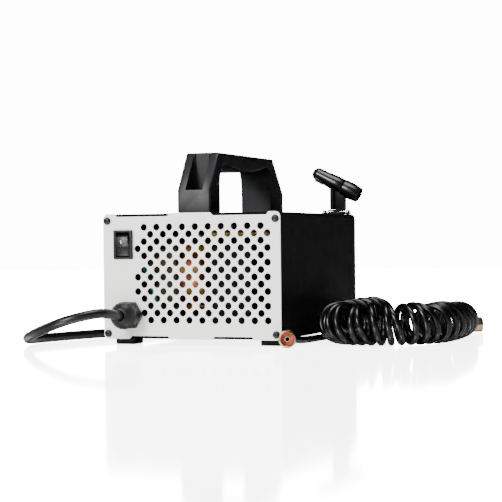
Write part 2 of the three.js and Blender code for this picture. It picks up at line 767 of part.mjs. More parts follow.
// The sleeve crimped on the hose, in one piece with the nipple. The mouth in front of the nipple stays
// open for the thread that the nut is screwed on.
function sleeve(radius, length, depth) {
  const end = depth - nutLength - GAP;
  return turned([[nipple[1], end], [nipple[0], end], [nipple[0], 0], [radius, 0], [radius, length - 2],
    [hoseRadius + 1, length], [nipple[1], length]], 16);
}
const atHoseStart = (geometry) => geometry.rotateZ(hoseStartAngle).translate(...hoseStart, hoseFittingZ);
add("hose_nut_front", atHoseStart(hoseNut()), brass);
add(
  "hose_washer_front",
  atHoseStart(tube(washer[0], washer[1], washerDepth, washerDepth + washer[2], 16)),
  redFibre,
);
const shortSleeve = sleeve(...ferrule, nippleDepth[0]).translate(0, nutLength + GAP, 0);
add("hose_ferrule_front", atHoseStart(shortSleeve), brass);
const hoseFree = nutLength + ferrule[1] + 2 * GAP; // from the front nut's mouth to where the hose begins
const onHoseAxis = (along) => [
  hoseStart[0] - along * Math.sin(hoseStartAngle),
  hoseStart[1] + along * Math.cos(hoseStartAngle),
  hoseFittingZ,
];
add(
  "hose_lead",
  flex(
    [
      onHoseAxis(hoseFree),
      onHoseAxis(hoseFree + 2.5),
      [71.4, 8, 5.9],
      [71.6, 17, 4.8],
      [72.2, 30, 3.3],
      [73.2, 50, hoseFloor],
      [75.4, 90, hoseFloor],
      [77, 130, hoseFloor],
      [78.5, 149, hoseFloor],
      [82, 156.8, hoseFloor],
      [88, 158.8, hoseFloor],
    ],
    hoseRadius,
    8,
    24,
  ),
  blackVinyl,
);
const coilLift = hoseCoilRadius + 0.1;
add(
  "hose_coil",
  flex(
    [
      [95, 152, coilLift],
      [93, 110, coilLift],
      [92.5, 75, coilLift],
      [97, 44, coilLift],
      [112, 27, coilLift],
      [133, 24, coilLift],
      [153, 33, coilLift],
      [166, 55, coilLift],
      [169.5, 90, coilLift],
      [167, 125, coilLift],
      [163, 150, coilLift],
    ],
    hoseCoilRadius,
    12,
    40,
  ),
  blackVinyl,
);
const tailAngle = THREE.MathUtils.degToRad(28);
const tailEnd = [144, 186.6];
const atTail = (geometry, along) =>
  geometry
    .rotateZ(tailAngle - Math.PI / 2)
    .translate(tailEnd[0] + along * Math.cos(tailAngle), tailEnd[1] + along * Math.sin(tailAngle), hoseFittingZ);
add(
  "hose_tail",
  flex(
    [
      [158, 153.6, hoseFloor],
      [149.5, 155, hoseFloor],
      [140.5, 159.5, hoseFloor],
      [135, 168, 3],
      [136.5, 178.5, 4.2],
      [tailEnd[0] - 3, tailEnd[1] - 2, 6],
      [...tailEnd, hoseFittingZ],
    ],
    hoseRadius,
    8,
    16,
  ),
  blackVinyl,
);
const guardLength = guardSize[1];
const guard = sleeve(...guardSize, nippleDepth[1]).rotateX(Math.PI).translate(0, guardLength, 0);
add("hose_guard_rear", atTail(guard, GAP), brightSteel);
const rearNut = hoseNut().rotateX(Math.PI).translate(0, nutLength, 0);
add("hose_nut_rear", atTail(rearNut, guardLength + 2 * GAP), brass);

// ---- motor --------------------------------------------------------------------------------------
const coreRight = coreLeft + coreThickness;
const shaftBore = clearing(shaftRadius + RUNNING);
function squarePlate(size, corner, low) {
  const half = size / 2;
  const right = [[half - corner, low], [half, low + (low === -half ? corner : 0)], [half, half - corner],
    [half - corner, half]];
  return outline(mirrored(right).map(([y, z]) => [y, z]));
}
add(
  "stator_core",
  cut(
    alongX(squarePlate(coreSize, coreCorner, -coreSize / 2), coreLeft, coreRight).translate(0, shaftY, shaftZ),
    onShaft(rod(clearing(rotorRadius + airGap, FINE_SIDES), coreLeft - 1, coreRight + 1, FINE_SIDES)),
  ),
  laminations,
);
const winding = (from, to) => {
  const [inner, outer] = windingRadii;
  return onShaft(turned([[inner, from], [outer - 2, from], [outer, from + 2], [outer, to - 2], [outer - 2, to],
    [inner, to]], FINE_SIDES));
};
add("winding_right", winding(coreRight + GAP, coreRight + windingReachRight), copper);
add("winding_left", winding(coreLeft - windingReachLeft, coreLeft - GAP), copper);
add("rotor", onShaft(tube(rotorRadius, shaftBore, coreLeft, coreRight, FINE_SIDES)), laminations);
const bracketRight = coreLeft - windingReachLeft - GAP;
const bracketLeft = bracketRight - bracketThickness;
const shaftEnd = crankcaseLeft + crankcaseWall + GAP;
const fanRight = bracketLeft - 1.3;
add("motor_shaft", onShaft(rod(shaftRadius, fanRight - fanWidth - 0.6, shaftEnd, 16)), brightSteel);
const bracketFoot = baseTop + GAP - shaftZ;
add(
  "motor_bracket",
  cut(
    alongX(squarePlate(coreSize, coreCorner, bracketFoot), bracketLeft, bracketRight)
      .translate(0, shaftY, shaftZ),
    onShaft(rod(clearing(bearingRadius + GAP), bracketLeft - 1, bracketRight + 1)),
  ),
  castAluminium,
);
add("bearing_left", onShaft(tube(bearingRadius, shaftBore, bracketLeft, bracketRight)), brightSteel);
add(
  "bearing_right",
  onShaft(tube(bearingRadius, shaftBore, crankcaseLeft, crankcaseLeft + bearingWidth)),
  brightSteel,
);
function fan() {
  const blades = Array.from({ length: fanBlades }, (_, i) =>
    toX(new THREE.BoxGeometry(fanRadius - 7, fanWidth, 1.6))
      .translate(fanRight - fanWidth / 2, -(fanRadius + 7) / 2, 0)
      .rotateX((i * 2 * Math.PI) / fanBlades)
      .translate(0, shaftY, shaftZ),
  );
  const hub = onShaft(rod(8, fanRight - fanWidth, fanRight));
  return cut(joined(hub, ...blades), onShaft(rod(shaftBore, fanRight - 20, fanRight + 20)));
}
add("fan", fan(), blackPlastic);

// ---- pump ---------------------------------------------------------------------------------------
const crankcaseRight = crankcaseLeft + crankcaseWidth;
const crankcaseHalf = crankcaseHeight / 2;
const cavity = crankcaseHalf - 4;
const discLeft = crankcaseLeft + crankcaseWall + 2 * GAP;
const discRight = discLeft + crankDisc[1];
add(
  "crankcase",
  cut(
    box(crankcaseLeft, crankcaseRight, shaftY - crankcaseHalf, shaftY + crankcaseHalf, baseTop + GAP,
      shaftZ + crankcaseHalf),
    onShaft(rod(clearing(bearingRadius + GAP), crankcaseLeft - 1, crankcaseLeft + crankcaseWall + 1)),
    onShaft(rod(cavity, crankcaseLeft + crankcaseWall, crankcaseRight + 1, FINE_SIDES)),
    rod(Math.min(boreRadius, cylinderX - crankcaseLeft - 2), shaftY, shaftY + crankcaseHalf + 1).translate(
      cylinderX,
      0,
      shaftZ,
    ),
  ),
  castAluminium,
);
const pinY = shaftY + crankThrow;
add(
  "crank",
  geometryOf(
    joined(
      onShaft(rod(crankDisc[0], discLeft, discRight)),
      toX(rod(crankPin[0], discRight - 1, discRight + crankPin[1], 16)).translate(0, pinY, shaftZ),
    ),
  ),
  brightSteel,
);
const pistonBack = pinY + pistonDistance;
function piston() {
  const eye = toX(rod(rodEyeRadius, discRight + 1, discRight + crankPin[1] - 0.8, 16))
    .translate(0, pinY, shaftZ);
  const middle = (2 * discRight + crankPin[1] + 0.2) / 2;
  const half = rodWidth / 2;
  const bar = box(middle - half, middle + half, pinY + rodEyeRadius - 2, pistonBack + 1, shaftZ - 4, shaftZ + 4);
  const disc = rod(pistonRadius, pistonBack, pistonBack + pistonThickness).translate(cylinderX, 0, shaftZ);
  const hole = toX(rod(clearing(crankPin[0] + RUNNING, 16), discRight - 5, discRight + 20, 16));
  return cut(joined(eye, bar, disc), hole.translate(0, pinY, shaftZ));
}
add("piston", piston(), castAluminium);
const cupBack = pistonBack + pistonThickness + GAP;
const onCylinder = (geometry) => geometry.translate(cylinderX, 0, shaftZ);
add("piston_cup", onCylinder(rod(cupRadius, cupBack, cupBack + cupThickness)), blackRubber);
const cylinderFoot = shaftY + crankcaseHalf + GAP;
const cylinderEnd = cupBack + cupThickness + headClearance;
function cylinder() {
  const outer = boreRadius + cylinderWall;
  const pitch = (cylinderEnd - cylinderFoot) / (finCount + 0.5);
  const fins = Array.from({ length: finCount }, (_, i) => {
    const y = cylinderFoot + (i + 0.5) * pitch;
    return [[outer, y], [outer + finReach, y], [outer + finReach, y + pitch / 2], [outer, y + pitch / 2]];
  }).flat();
  return turned([[boreRadius, cylinderFoot], [outer, cylinderFoot], ...fins, [outer, cylinderEnd],
    [boreRadius, cylinderEnd]], FINE_SIDES);
}
add("cylinder", onCylinder(cylinder()), castAluminium);
const headBack = cylinderEnd + GAP;
const portEnd = headBack + headThickness + portLength;
add(
  "cylinder_head",
  onCylinder(turned([[0, headBack], [boreRadius + cylinderWall + 1, headBack],
    [boreRadius + cylinderWall + 1, headBack + headThickness - 2], [boreRadius, headBack + headThickness],
    [portRadius, headBack + headThickness], [portRadius, portEnd], [0, portEnd]], SIDES)),
  castAluminium,
);
const outletStart = caseDepth - sheet - outletInside;
add(
  "delivery_pipe",
  flex(
    [
      [cylinderX, portEnd + GAP, shaftZ],
      [cylinderX, portEnd + 6, shaftZ],
      [cylinderX - 3, (portEnd + outletStart) / 2, shaftZ + 5],
      [cylinderX, outletStart - 6, shaftZ],
      [cylinderX, outletStart - GAP, shaftZ],
    ],
    pipeRadius,
    8,
    12,
  ),
  copper,
);
const outletFace = caseDepth + GAP;
const outletEnd = outletFace + outletHex[1] + outletThread[1];
add(
  "outlet_fitting",
  cut(
    joined(
      rod(outletThread[0], outletStart, outletEnd, 16).translate(outletX, 0, shaftZ),
      alongY(outline(ring(outletHex[0], 6, outletX, shaftZ)), outletFace, outletFace + outletHex[1]),
    ),
    rod(outletBore, outletStart + 6, outletEnd + 1, 12).translate(outletX, 0, shaftZ),
  ),
  brass,
);
add(
  "capacitor",
  turned([[0, 0], [capacitorRadius - 1, 0], [capacitorRadius, 1], [capacitorRadius, capacitorLength - 2],
    [capacitorRadius - 3, capacitorLength], [0, capacitorLength]]).translate(
    capacitorAt[0],
    capacitorAt[1],
    baseTop + GAP + capacitorRadius,
  ),
  greyCan,
);

// ---- origin -------------------------------------------------------------------------------------
const loose = /^(mains|hose)_/;
group.updateMatrixWorld(true);
const bounds = new THREE.Box3();
group.children.filter((mesh) => !loose.test(mesh.name)).forEach((mesh) => bounds.expandByObject(mesh, true));
group.position.set(-(bounds.min.x + bounds.max.x) / 2, -(bounds.min.y + bounds.max.y) / 2, -bounds.min.z);

export default group;
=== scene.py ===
"""A small electric air blower in a sheet-metal case, with its mains lead and coiled air hose."""

import json
import math

import bmesh
import bpy
from mathutils import Matrix, Vector


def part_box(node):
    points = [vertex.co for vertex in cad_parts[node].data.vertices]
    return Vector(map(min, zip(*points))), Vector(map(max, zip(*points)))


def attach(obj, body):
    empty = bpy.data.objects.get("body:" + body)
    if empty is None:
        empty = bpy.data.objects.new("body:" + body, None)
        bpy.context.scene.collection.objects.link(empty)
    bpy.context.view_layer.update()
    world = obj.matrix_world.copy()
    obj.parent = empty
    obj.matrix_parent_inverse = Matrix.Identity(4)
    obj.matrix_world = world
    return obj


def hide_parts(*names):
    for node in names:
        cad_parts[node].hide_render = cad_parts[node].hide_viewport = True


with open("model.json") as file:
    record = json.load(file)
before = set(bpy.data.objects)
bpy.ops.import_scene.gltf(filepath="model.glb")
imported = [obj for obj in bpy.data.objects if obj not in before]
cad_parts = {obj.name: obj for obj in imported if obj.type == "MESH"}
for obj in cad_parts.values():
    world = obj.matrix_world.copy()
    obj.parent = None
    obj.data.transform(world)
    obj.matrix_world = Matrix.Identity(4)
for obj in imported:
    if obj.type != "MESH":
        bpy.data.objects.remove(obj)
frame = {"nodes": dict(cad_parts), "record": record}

bl_info = {
    "name": "Air blower",
    "version": (1, 0, 0),
    "blender": (4, 5, 0),
    "location": "View3D > Sidebar > Blower",
    "description": "Builds the visible pieces of a small electric air blower round its packed frame",
    "category": "Object",
}

# Everything is drawn in millimetres: X to the right of the front panel's middle, Y to the back from its
# outer face, Z up from the table. OFFSET takes that drawing into the frame's metres.
MM = 0.001
panel_low, panel_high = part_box("front_panel")
OFFSET = Vector(((panel_low.x + panel_high.x) / 2, panel_low.y, 0))
HALF_WIDTH = 68.5
DEPTH = 182.0
SHEET = 1.2
COVER_LOW = 5.0
COVER_TOP = 95.2
PANEL_LOW = 4.6
SEAT = 95.5
SWITCH = Vector((-52.2, 3, 73.1))
GLAND = Vector((-48, 0, 22))
REST = Vector((56, 172, 0))
SHAFT = Vector((0, 55, 50))
OUTLET_X = 20.3
FRONT = Vector((0, -1, 0))
UP = Vector((0, 0, 1))


def linear(code):
    """An sRGB hex colour as linear red, green and blue."""
    values = [int(code[i : i + 2], 16) / 255 for i in (1, 3, 5)]
    return tuple(v / 12.92 if v <= 0.04045 else ((v + 0.055) / 1.055) ** 2.4 for v in values)


def length_property(label, text, value):
    return bpy.props.FloatProperty(name=label, description=text, default=value * MM, min=0, unit="LENGTH")


def colour_property(label, text, code):
    return bpy.props.FloatVectorProperty(
        name=label, description=text, default=linear(code), min=0, max=1, subtype="COLOR"
    )


class BlowerSizes(bpy.types.PropertyGroup):
    vent: length_property("Vent", "Diameter of the round vents", 5.2)
    vent_pitch: length_property("Vent pitch", "Distance between vents along a row", 10)
    vent_rows: length_property("Vent rows", "Distance between rows of vents", 5.16)
    panel_edge: length_property("Panel edge", "Rounding left on the panels' punched edges", 0.14)
    cover_bend: length_property("Cover bend", "Outside radius of the cover's long bends", 3)
    handle_edge: length_property("Handle edge", "Rounding of the handle's long edges", 1.6)
    mains_lead: length_property("Mains lead", "Diameter of the mains lead", 7)
    air_hose: length_property("Air hose", "Diameter of the air hose", 5)
    hose_coil: length_property("Hose coil", "Radius of the hose's turns, at the middle of the hose", 12.9)
    screw_head: length_property("Screw head", "Radius of the panel screws' heads", 2.75)


class BlowerColours(bpy.types.PropertyGroup):
    panel: colour_property("Panels", "Powder coat of the end panels", "#F3F1EE")
    cover: colour_property("Cover", "Powder coat of the cover and base", "#0A0A0B")
    moulding: colour_property("Mouldings", "Nylon of the handle and fittings", "#131315")
    gloss: colour_property("Gloss plastic", "Polished plastic of the tool rest and rocker", "#060607")
    lead: colour_property("Mains lead", "Vinyl of the mains lead and plug", "#08080A")
    hose: colour_property("Air hose", "Polyurethane of the air hose", "#030304")
    brass: colour_property("Brass", "Turned brass of the hose ends", "#CDB48E")
    washer: colour_property("Washer", "Pressed fibre of the sealing washer", "#C03A20")
    copper: colour_property("Copper", "Enamelled winding wire", "#6A3414")
    print: colour_property("Print", "Printed marks on the rocker", "#F2F2F0")


def size(name):
    """One of the sizes in millimetres."""
    return getattr(bpy.context.scene.blower_sizes, name) / MM


def colour(name):
    """One of the colours with an alpha of 1."""
    return (*getattr(bpy.context.scene.blower_colours, name), 1)


# ---- materials ------------------------------------------------------------------------------------
def node(tree, kind, inputs=(), **settings):
    """Adds a node with its settings, and with inputs that are values or other nodes' outputs."""
    made = tree.nodes.new(kind)
    for key, value in settings.items():
        setattr(made, key, value)
    for socket, value in dict(inputs).items():
        if isinstance(value, bpy.types.NodeSocket):
            tree.links.new(value, made.inputs[socket])
        else:
            made.inputs[socket].default_value = value
    return made


def per(millimetres):
    """A pattern's scale on Object coordinates, from the real size of one of its features."""
    return 1 / (millimetres * MM)


def blank(name):
    """A new material and its emptied node tree."""
    made = bpy.data.materials.new(name)
    made.use_nodes = True
    made.node_tree.nodes.clear()
    return made, made.node_tree


def finish(name, base, rough, grain, relief, metallic=0.0, mottle=0.12, patch=14.0, **shader):
    """A solid surface: fine grain of a real size and relief, and slow patches of tone and gloss.

    grain and patch are in millimetres across, relief is the grain's height in millimetres, and mottle is
    the share by which tone and roughness drift from patch to patch.
    """
    made, tree = blank(name)
    place = node(tree, "ShaderNodeTexCoord").outputs["Object"]
    fine = node(tree, "ShaderNodeTexNoise", {"Vector": place, "Scale": per(grain), "Detail": 3})
    slow = node(tree, "ShaderNodeTexNoise", {"Vector": place, "Scale": per(patch), "Detail": 5})
    darker = (*(part * (1 - mottle) for part in base[:3]), 1)
    lighter = (*(min(part * (1 + mottle), 1) for part in base[:3]), 1)
    # A colour Mix node has its factor and two colours in sockets 0, 6 and 7, and its colour in output 2.
    tones = {0: slow.outputs["Fac"], 6: darker, 7: lighter}
    tone = node(tree, "ShaderNodeMix", data_type="RGBA", inputs=tones)
    spread = {"Value": slow.outputs["Fac"], "From Min": 0.3, "From Max": 0.7}
    spread |= {"To Min": rough * (1 - mottle), "To Max": min(rough * (1 + mottle), 1)}
    sheen = node(tree, "ShaderNodeMapRange", spread)
    bump = node(
        tree, "ShaderNodeBump", {"Height": fine.outputs["Fac"], "Distance": relief * MM, "Strength": 1.0}
    )
    inputs = {
        "Base Color": tone.outputs[2],
        "Roughness": sheen.outputs["Result"],
        "Metallic": metallic,
        "Normal": bump.outputs["Normal"],
    }
    body = node(tree, "ShaderNodeBsdfPrincipled", inputs | shader)
    node(tree, "ShaderNodeOutputMaterial", {"Surface": body.outputs["BSDF"]})
    return made


def grooved(made, spacing, depth, direction="X", style="BANDS", centre=None):
    """Adds fine parallel or round grooves on top of a finish, such as tool marks, plies or wire."""
    tree = made.node_tree
    body = next(n for n in tree.nodes if n.type == "BSDF_PRINCIPLED")
    under = body.inputs["Normal"].links[0].from_socket
    place = node(tree, "ShaderNodeTexCoord").outputs["Object"]
    if centre is not None:
        offset = -(Vector(centre) * MM + OFFSET)
        place = node(tree, "ShaderNodeMapping", {"Vector": place, "Location": offset}).outputs["Vector"]
    kind = {"wave_type": style, "wave_profile": "SIN"}
    kind["bands_direction" if style == "BANDS" else "rings_direction"] = direction
    # A wave's scale of 1 is 20 radians a unit, so one groove is pi / 10 units wide.
    inputs = {"Vector": place, "Scale": per(spacing) * math.pi / 10, "Distortion": 0.3}
    wave = node(tree, "ShaderNodeTexWave", inputs, **kind)
    inputs = {"Height": wave.outputs["Fac"], "Distance": depth * MM, "Normal": under, "Strength": 1.0}
    bump = node(tree, "ShaderNodeBump", inputs)
    tree.links.new(bump.outputs["Normal"], body.inputs["Normal"])
    return made


def make_materials():
    """Every finish by its slot's name, or by its own name where no slot holds it."""
    made = {}
    # Powder coat on sheet steel: an even satin skin with slight orange peel, which breaks up highlights.
    made["white_powder_coat"] = finish("white_powder_coat", colour("panel"), 0.42, 1.1, 0.012, mottle=0.02)
    # The dark coat is a finer texture: the sides stay deep with a soft, grainy sheen.
    made["black_powder_coat"] = finish(
        "black_powder_coat", colour("cover"), 0.6, 0.5, 0.008, mottle=0.05, **{"Specular IOR Level": 0.06}
    )
    # Glass-filled nylon from a spark-textured mould: matt, with a fine even grain.
    made["black_nylon"] = finish(
        "black_nylon", colour("moulding"), 0.42, 0.6, 0.006, **{"Specular IOR Level": 0.2}
    )
    # Semi-gloss mould: soft grey highlights, slightly drawn by flow marks.
    made["gloss_black_plastic"] = finish(
        "gloss_black_plastic", colour("gloss"), 0.27, 4.0, 0.004, **{"Specular IOR Level": 0.3}
    )
    # Moulded rubber: dull and slightly dusty.
    made["black_rubber"] = finish("black_rubber", (*linear("#151515"), 1), 0.78, 0.8, 0.04, mottle=0.2)
    # Black oxide on steel screws: dark with a weak metallic glint.
    made["black_screws"] = finish(
        "black_screws", (*linear("#1C1C1E"), 1), 0.36, 0.4, 0.01, metallic=0.6
    )
    # Bright zinc or nickel plate: light grey metal with fine drawn marks.
    made["bright_steel"] = finish("bright_steel", (*linear("#B9BCC0"), 1), 0.24, 0.5, 0.006, metallic=1)
    # Turned brass: pale gold with rings from the tool.
    made["brass"] = grooved(
        finish("turned_brass", colour("brass"), 0.26, 0.5, 0.006, metallic=1), 0.35, 0.008, "Y"
    )
    # Pressed fibre: matt and slightly flecked.
    made["red_fibre"] = finish("red_fibre", colour("washer"), 0.6, 0.3, 0.03, mottle=0.18, patch=1.2)
    # Satin vinyl drawn over the cores: soft highlight with faint lengthwise drift.
    made["cord_vinyl"] = finish(
        "cord_vinyl", colour("lead"), 0.34, 0.9, 0.008, mottle=0.1, patch=9, **{"Specular IOR Level": 0.3}
    )
    # Extruded polyurethane: smooth and semi-gloss, so each turn carries a narrow soft highlight.
    made["hose_polyurethane"] = finish(
        "hose_polyurethane", colour("hose"), 0.27, 2.5, 0.004, mottle=0.1, **{"Specular IOR Level": 0.3}
    )
    # Cast aluminium, its colour darkened as painted shade for the dark inside of the closed case: grey and
    # granular.
    made["cast_aluminium"] = finish(
        "cast_aluminium", (*linear("#1F2021"), 1), 0.6, 0.7, 0.06, metallic=1, mottle=0.1
    )
    # Varnished laminations 0.5 mm thick: olive-brown steel with the stack's fine lines.
    made["laminated_steel"] = grooved(
        finish("laminated_steel", (*linear("#4C4A34"), 1), 0.45, 0.8, 0.01, metallic=0.7), 0.5, 0.08, "X"
    )
    # Enamelled copper wire 0.8 mm thick: bright orange with close rounded turns.
    made["copper_winding"] = grooved(
        finish("copper_winding", colour("copper"), 0.3, 0.6, 0.01, metallic=0.7), 0.8, 0.25, "X", "RINGS",
        centre=SHAFT,
    )
    # Moulded plastic can: off-white and satin.
    made["capacitor_can"] = finish("capacitor_can", (*linear("#D8D8D2"), 1), 0.45, 0.8, 0.01, mottle=0.04)
    # Pad-printed enamel: flat white.
    made["white_print"] = finish("white_print", colour("print"), 0.5, 0.4, 0.004, mottle=0.03)
    # Drawn wire insulation and binding tape, inside the case.
    made["teal_wire"] = finish("teal_wire", (*linear("#1F8C86"), 1), 0.35, 0.7, 0.01)
    made["yellow_tape"] = finish("yellow_tape", (*linear("#866619"), 1), 0.45, 0.8, 0.02, mottle=0.1)
    return made


MATERIALS = {}


# ---- modelling ------------------------------------------------------------------------------------
def moved(shape, *matrices):
    """The shape under each matrix in turn."""
    for matrix in matrices:
        bmesh.ops.transform(shape, matrix=matrix, verts=shape.verts)
    return shape


def at(*point):
    return Matrix.Translation(Vector(point[0]) if len(point) == 1 else Vector(point))


def aimed(direction):
    """Turns the Z axis to a direction."""
    return Vector(direction).to_track_quat("Z", "Y").to_matrix().to_4x4()


def together(*shapes):
    """Several shapes as one."""
    whole = bmesh.new()
    for shape in shapes:
        mesh = bpy.data.meshes.new("part")
        shape.to_mesh(mesh)
        shape.free()
        whole.from_mesh(mesh)
        bpy.data.meshes.remove(mesh)
    return whole


def tidy(shape):
    bmesh.ops.remove_doubles(shape, verts=shape.verts, dist=0.002)
    bmesh.ops.recalc_face_normals(shape, faces=shape.faces)
    return shape


def turned(profile, steps=48):
    """A profile of radius and height, spun round Z. A profile that starts off the axis makes a ring."""
    shape = bmesh.new()
    points = [shape.verts.new((radius, 0, height)) for radius, height in profile]
    ends = points[1:] + points[:1] if profile[0][0] > 0 else points[1:]
    edges = [shape.edges.new(pair) for pair in zip(points, ends)]
    bmesh.ops.spin(
        shape, geom=points + edges, cent=(0, 0, 0), axis=(0, 0, 1), angle=2 * math.pi, steps=steps,
        use_merge=True,
    )
    return tidy(shape)


def prism(outline, low, high):
    """An outline in X and Y, extruded along Z."""
    shape = bmesh.new()
    face = shape.faces.new([shape.verts.new((x, y, low)) for x, y in outline])
    grown = bmesh.ops.extrude_face_region(shape, geom=[face])["geom"]
    ends = [part for part in grown if isinstance(part, bmesh.types.BMVert)]
    bmesh.ops.translate(shape, vec=(0, 0, high - low), verts=ends)
    return tidy(shape)


ALONG_X = Matrix(((0, 0, 1, 0), (1, 0, 0, 0), (0, 1, 0, 0), (0, 0, 0, 1)))
ALONG_Y = Matrix(((1, 0, 0, 0), (0, 0, 1, 0), (0, 1, 0, 0), (0, 0, 0, 1)))


def block(low, high, edge=0.0, segments=2):
    """A box between two corners, with all its edges rounded."""
    shape = bmesh.new()
    bmesh.ops.create_cube(shape, size=1)
    low, high = Vector(low), Vector(high)
    moved(shape, Matrix.Diagonal((*(high - low), 1)), at((low + high) / 2))
    return soften(shape, edge, segments) if edge else shape


def soften(shape, width, segments=2, sharper=30):
    """Rounds every edge whose faces turn by more than an angle."""
    limit = math.radians(sharper)
    edges = [e for e in shape.edges if e.is_manifold and e.calc_face_angle(0) > limit]
    bmesh.ops.bevel(
        shape, geom=edges, offset=width, offset_type="OFFSET", affect="EDGES", segments=segments,
        profile=0.5, material=-1, clamp_overlap=True,
    )
    return shape


def carved(shape, *cutters):
    """The shape with the cutters taken out of it."""
    objects = []
    for source in (shape, *cutters):
        mesh = bpy.data.meshes.new("carving")
        tidy(source).to_mesh(mesh)
        source.free()
        objects.append(bpy.data.objects.new("carving", mesh))
        bpy.context.collection.objects.link(objects[-1])
    for cutter in objects[1:]:
        cut = objects[0].modifiers.new("cut", "BOOLEAN")
        cut.operation = "DIFFERENCE"
        cut.solver = "EXACT"
        cut.object = cutter
    result = bmesh.new()
    result.from_object(objects[0], bpy.context.evaluated_depsgraph_get())
    for obj in objects:
        bpy.data.meshes.remove(obj.data)
    return result


def finished(shape, name, body, slot, *nodes, material=None, edge=0.0):
    """Makes the shape an object in the frame, with its finish, the body that it rides on and the CAD
    nodes that it stands for."""
    moved(tidy(shape), Matrix.Diagonal((MM, MM, MM, 1)), at(OFFSET))
    mesh = bpy.data.meshes.new(name)
    shape.to_mesh(mesh)
    shape.free()
    mesh.polygons.foreach_set("use_smooth", [True] * len(mesh.polygons))
    mesh.set_sharp_from_angle(angle=math.radians(35))
    mesh.materials.append(MATERIALS[material or slot])
    obj = bpy.data.objects.new(name, mesh)
    bpy.context.collection.objects.link(obj)
    if edge:
        rounding = obj.modifiers.new("edges", "BEVEL")
        rounding.width = edge * MM
        rounding.segments = 2
        rounding.limit_method = "ANGLE"
        rounding.angle_limit = math.radians(50)
    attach(obj, body)
    if nodes:
        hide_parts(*nodes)
    return obj


def ring(radius, count, x=0.0, y=0.0, start=0.0):
    """Points evenly round a circle."""
    turn = 2 * math.pi / count
    angles = [start + i * turn for i in range(count)]
    return [(x + radius * math.cos(a), y + radius * math.sin(a)) for a in angles]


def curved(points, step):
    """Points a step apart, in millimetres, on a smooth curve through the given ones (a centripetal
    Catmull-Rom curve, so it doesn't overshoot where they are close)."""
    knots = [Vector(p) for p in points]
    knots = [2 * knots[0] - knots[1], *knots, 2 * knots[-1] - knots[-2]]
    dense = [knots[1]]
    for a, b, c, d in zip(knots, knots[1:], knots[2:], knots[3:]):
        t1 = (b - a).length ** 0.5
        t2 = t1 + (c - b).length ** 0.5
        t3 = t2 + (d - c).length ** 0.5
        count = max(2, math.ceil((c - b).length / step))
        for i in range(1, count + 1):
            t = t1 + (t2 - t1) * i / count
            ab = a.lerp(b, t / t1)
            bc = b.lerp(c, (t - t1) / (t2 - t1))
            cd = c.lerp(d, (t - t2) / (t3 - t2))
            first = ab.lerp(bc, t / t2)
            second = bc.lerp(cd, (t - t1) / (t3 - t1))
            dense.append(first.lerp(second, (t - t1) / (t2 - t1)))
    return dense


def strand(name, points, radius, body, slot, *nodes, material=None):
    """A round cord along points in millimetres."""
    curve = bpy.data.curves.new(name, "CURVE")
    curve.dimensions = "3D"
    curve.bevel_depth = radius * MM
    curve.bevel_resolution = 5
    curve.use_fill_caps = True
    line = curve.splines.new("POLY")
    line.points.add(len(points) - 1)
    for spot, point in zip(line.points, points):
        spot.co = (*(point * MM + OFFSET), 1)
    line.use_smooth = True
    curve.materials.append(MATERIALS[material or slot])
    obj = bpy.data.objects.new(name, curve)
    bpy.context.collection.objects.link(obj)
    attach(obj, body)
    if nodes:
        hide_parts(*nodes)
    return obj


# ---- camera and cords -----------------------------------------------------------------------------
def set_camera():
    data = bpy.data.cameras.new("camera")
    data.sensor_width = 36
    data.lens = 114.74
    data.clip_end = 20
    camera = bpy.data.objects.new("camera", data)
    camera.location = Vector((441.7, -1057, 73.9)) * MM + OFFSET
    camera.rotation_euler = [math.radians(a) for a in (89.6822, 0.6565, 20.4925)]
    bpy.context.collection.objects.link(camera)
    bpy.context.scene.camera = camera


NUT_MOUTH = Vector((77.8, -13.7, 6.3))
NUT_AXIS = Vector((math.sin(math.radians(19.25)), -math.cos(math.radians(19.25)), 0))
COIL = Vector((-24, 234, 0))
COIL_RADIUS = 36.5
PLUG = Vector((-34.5, 270.5, 27.2))


def smooth(share):
    """An even start and stop from 0 to 1."""
    share = min(1, max(0, share))
    return share * share * (3 - 2 * share)


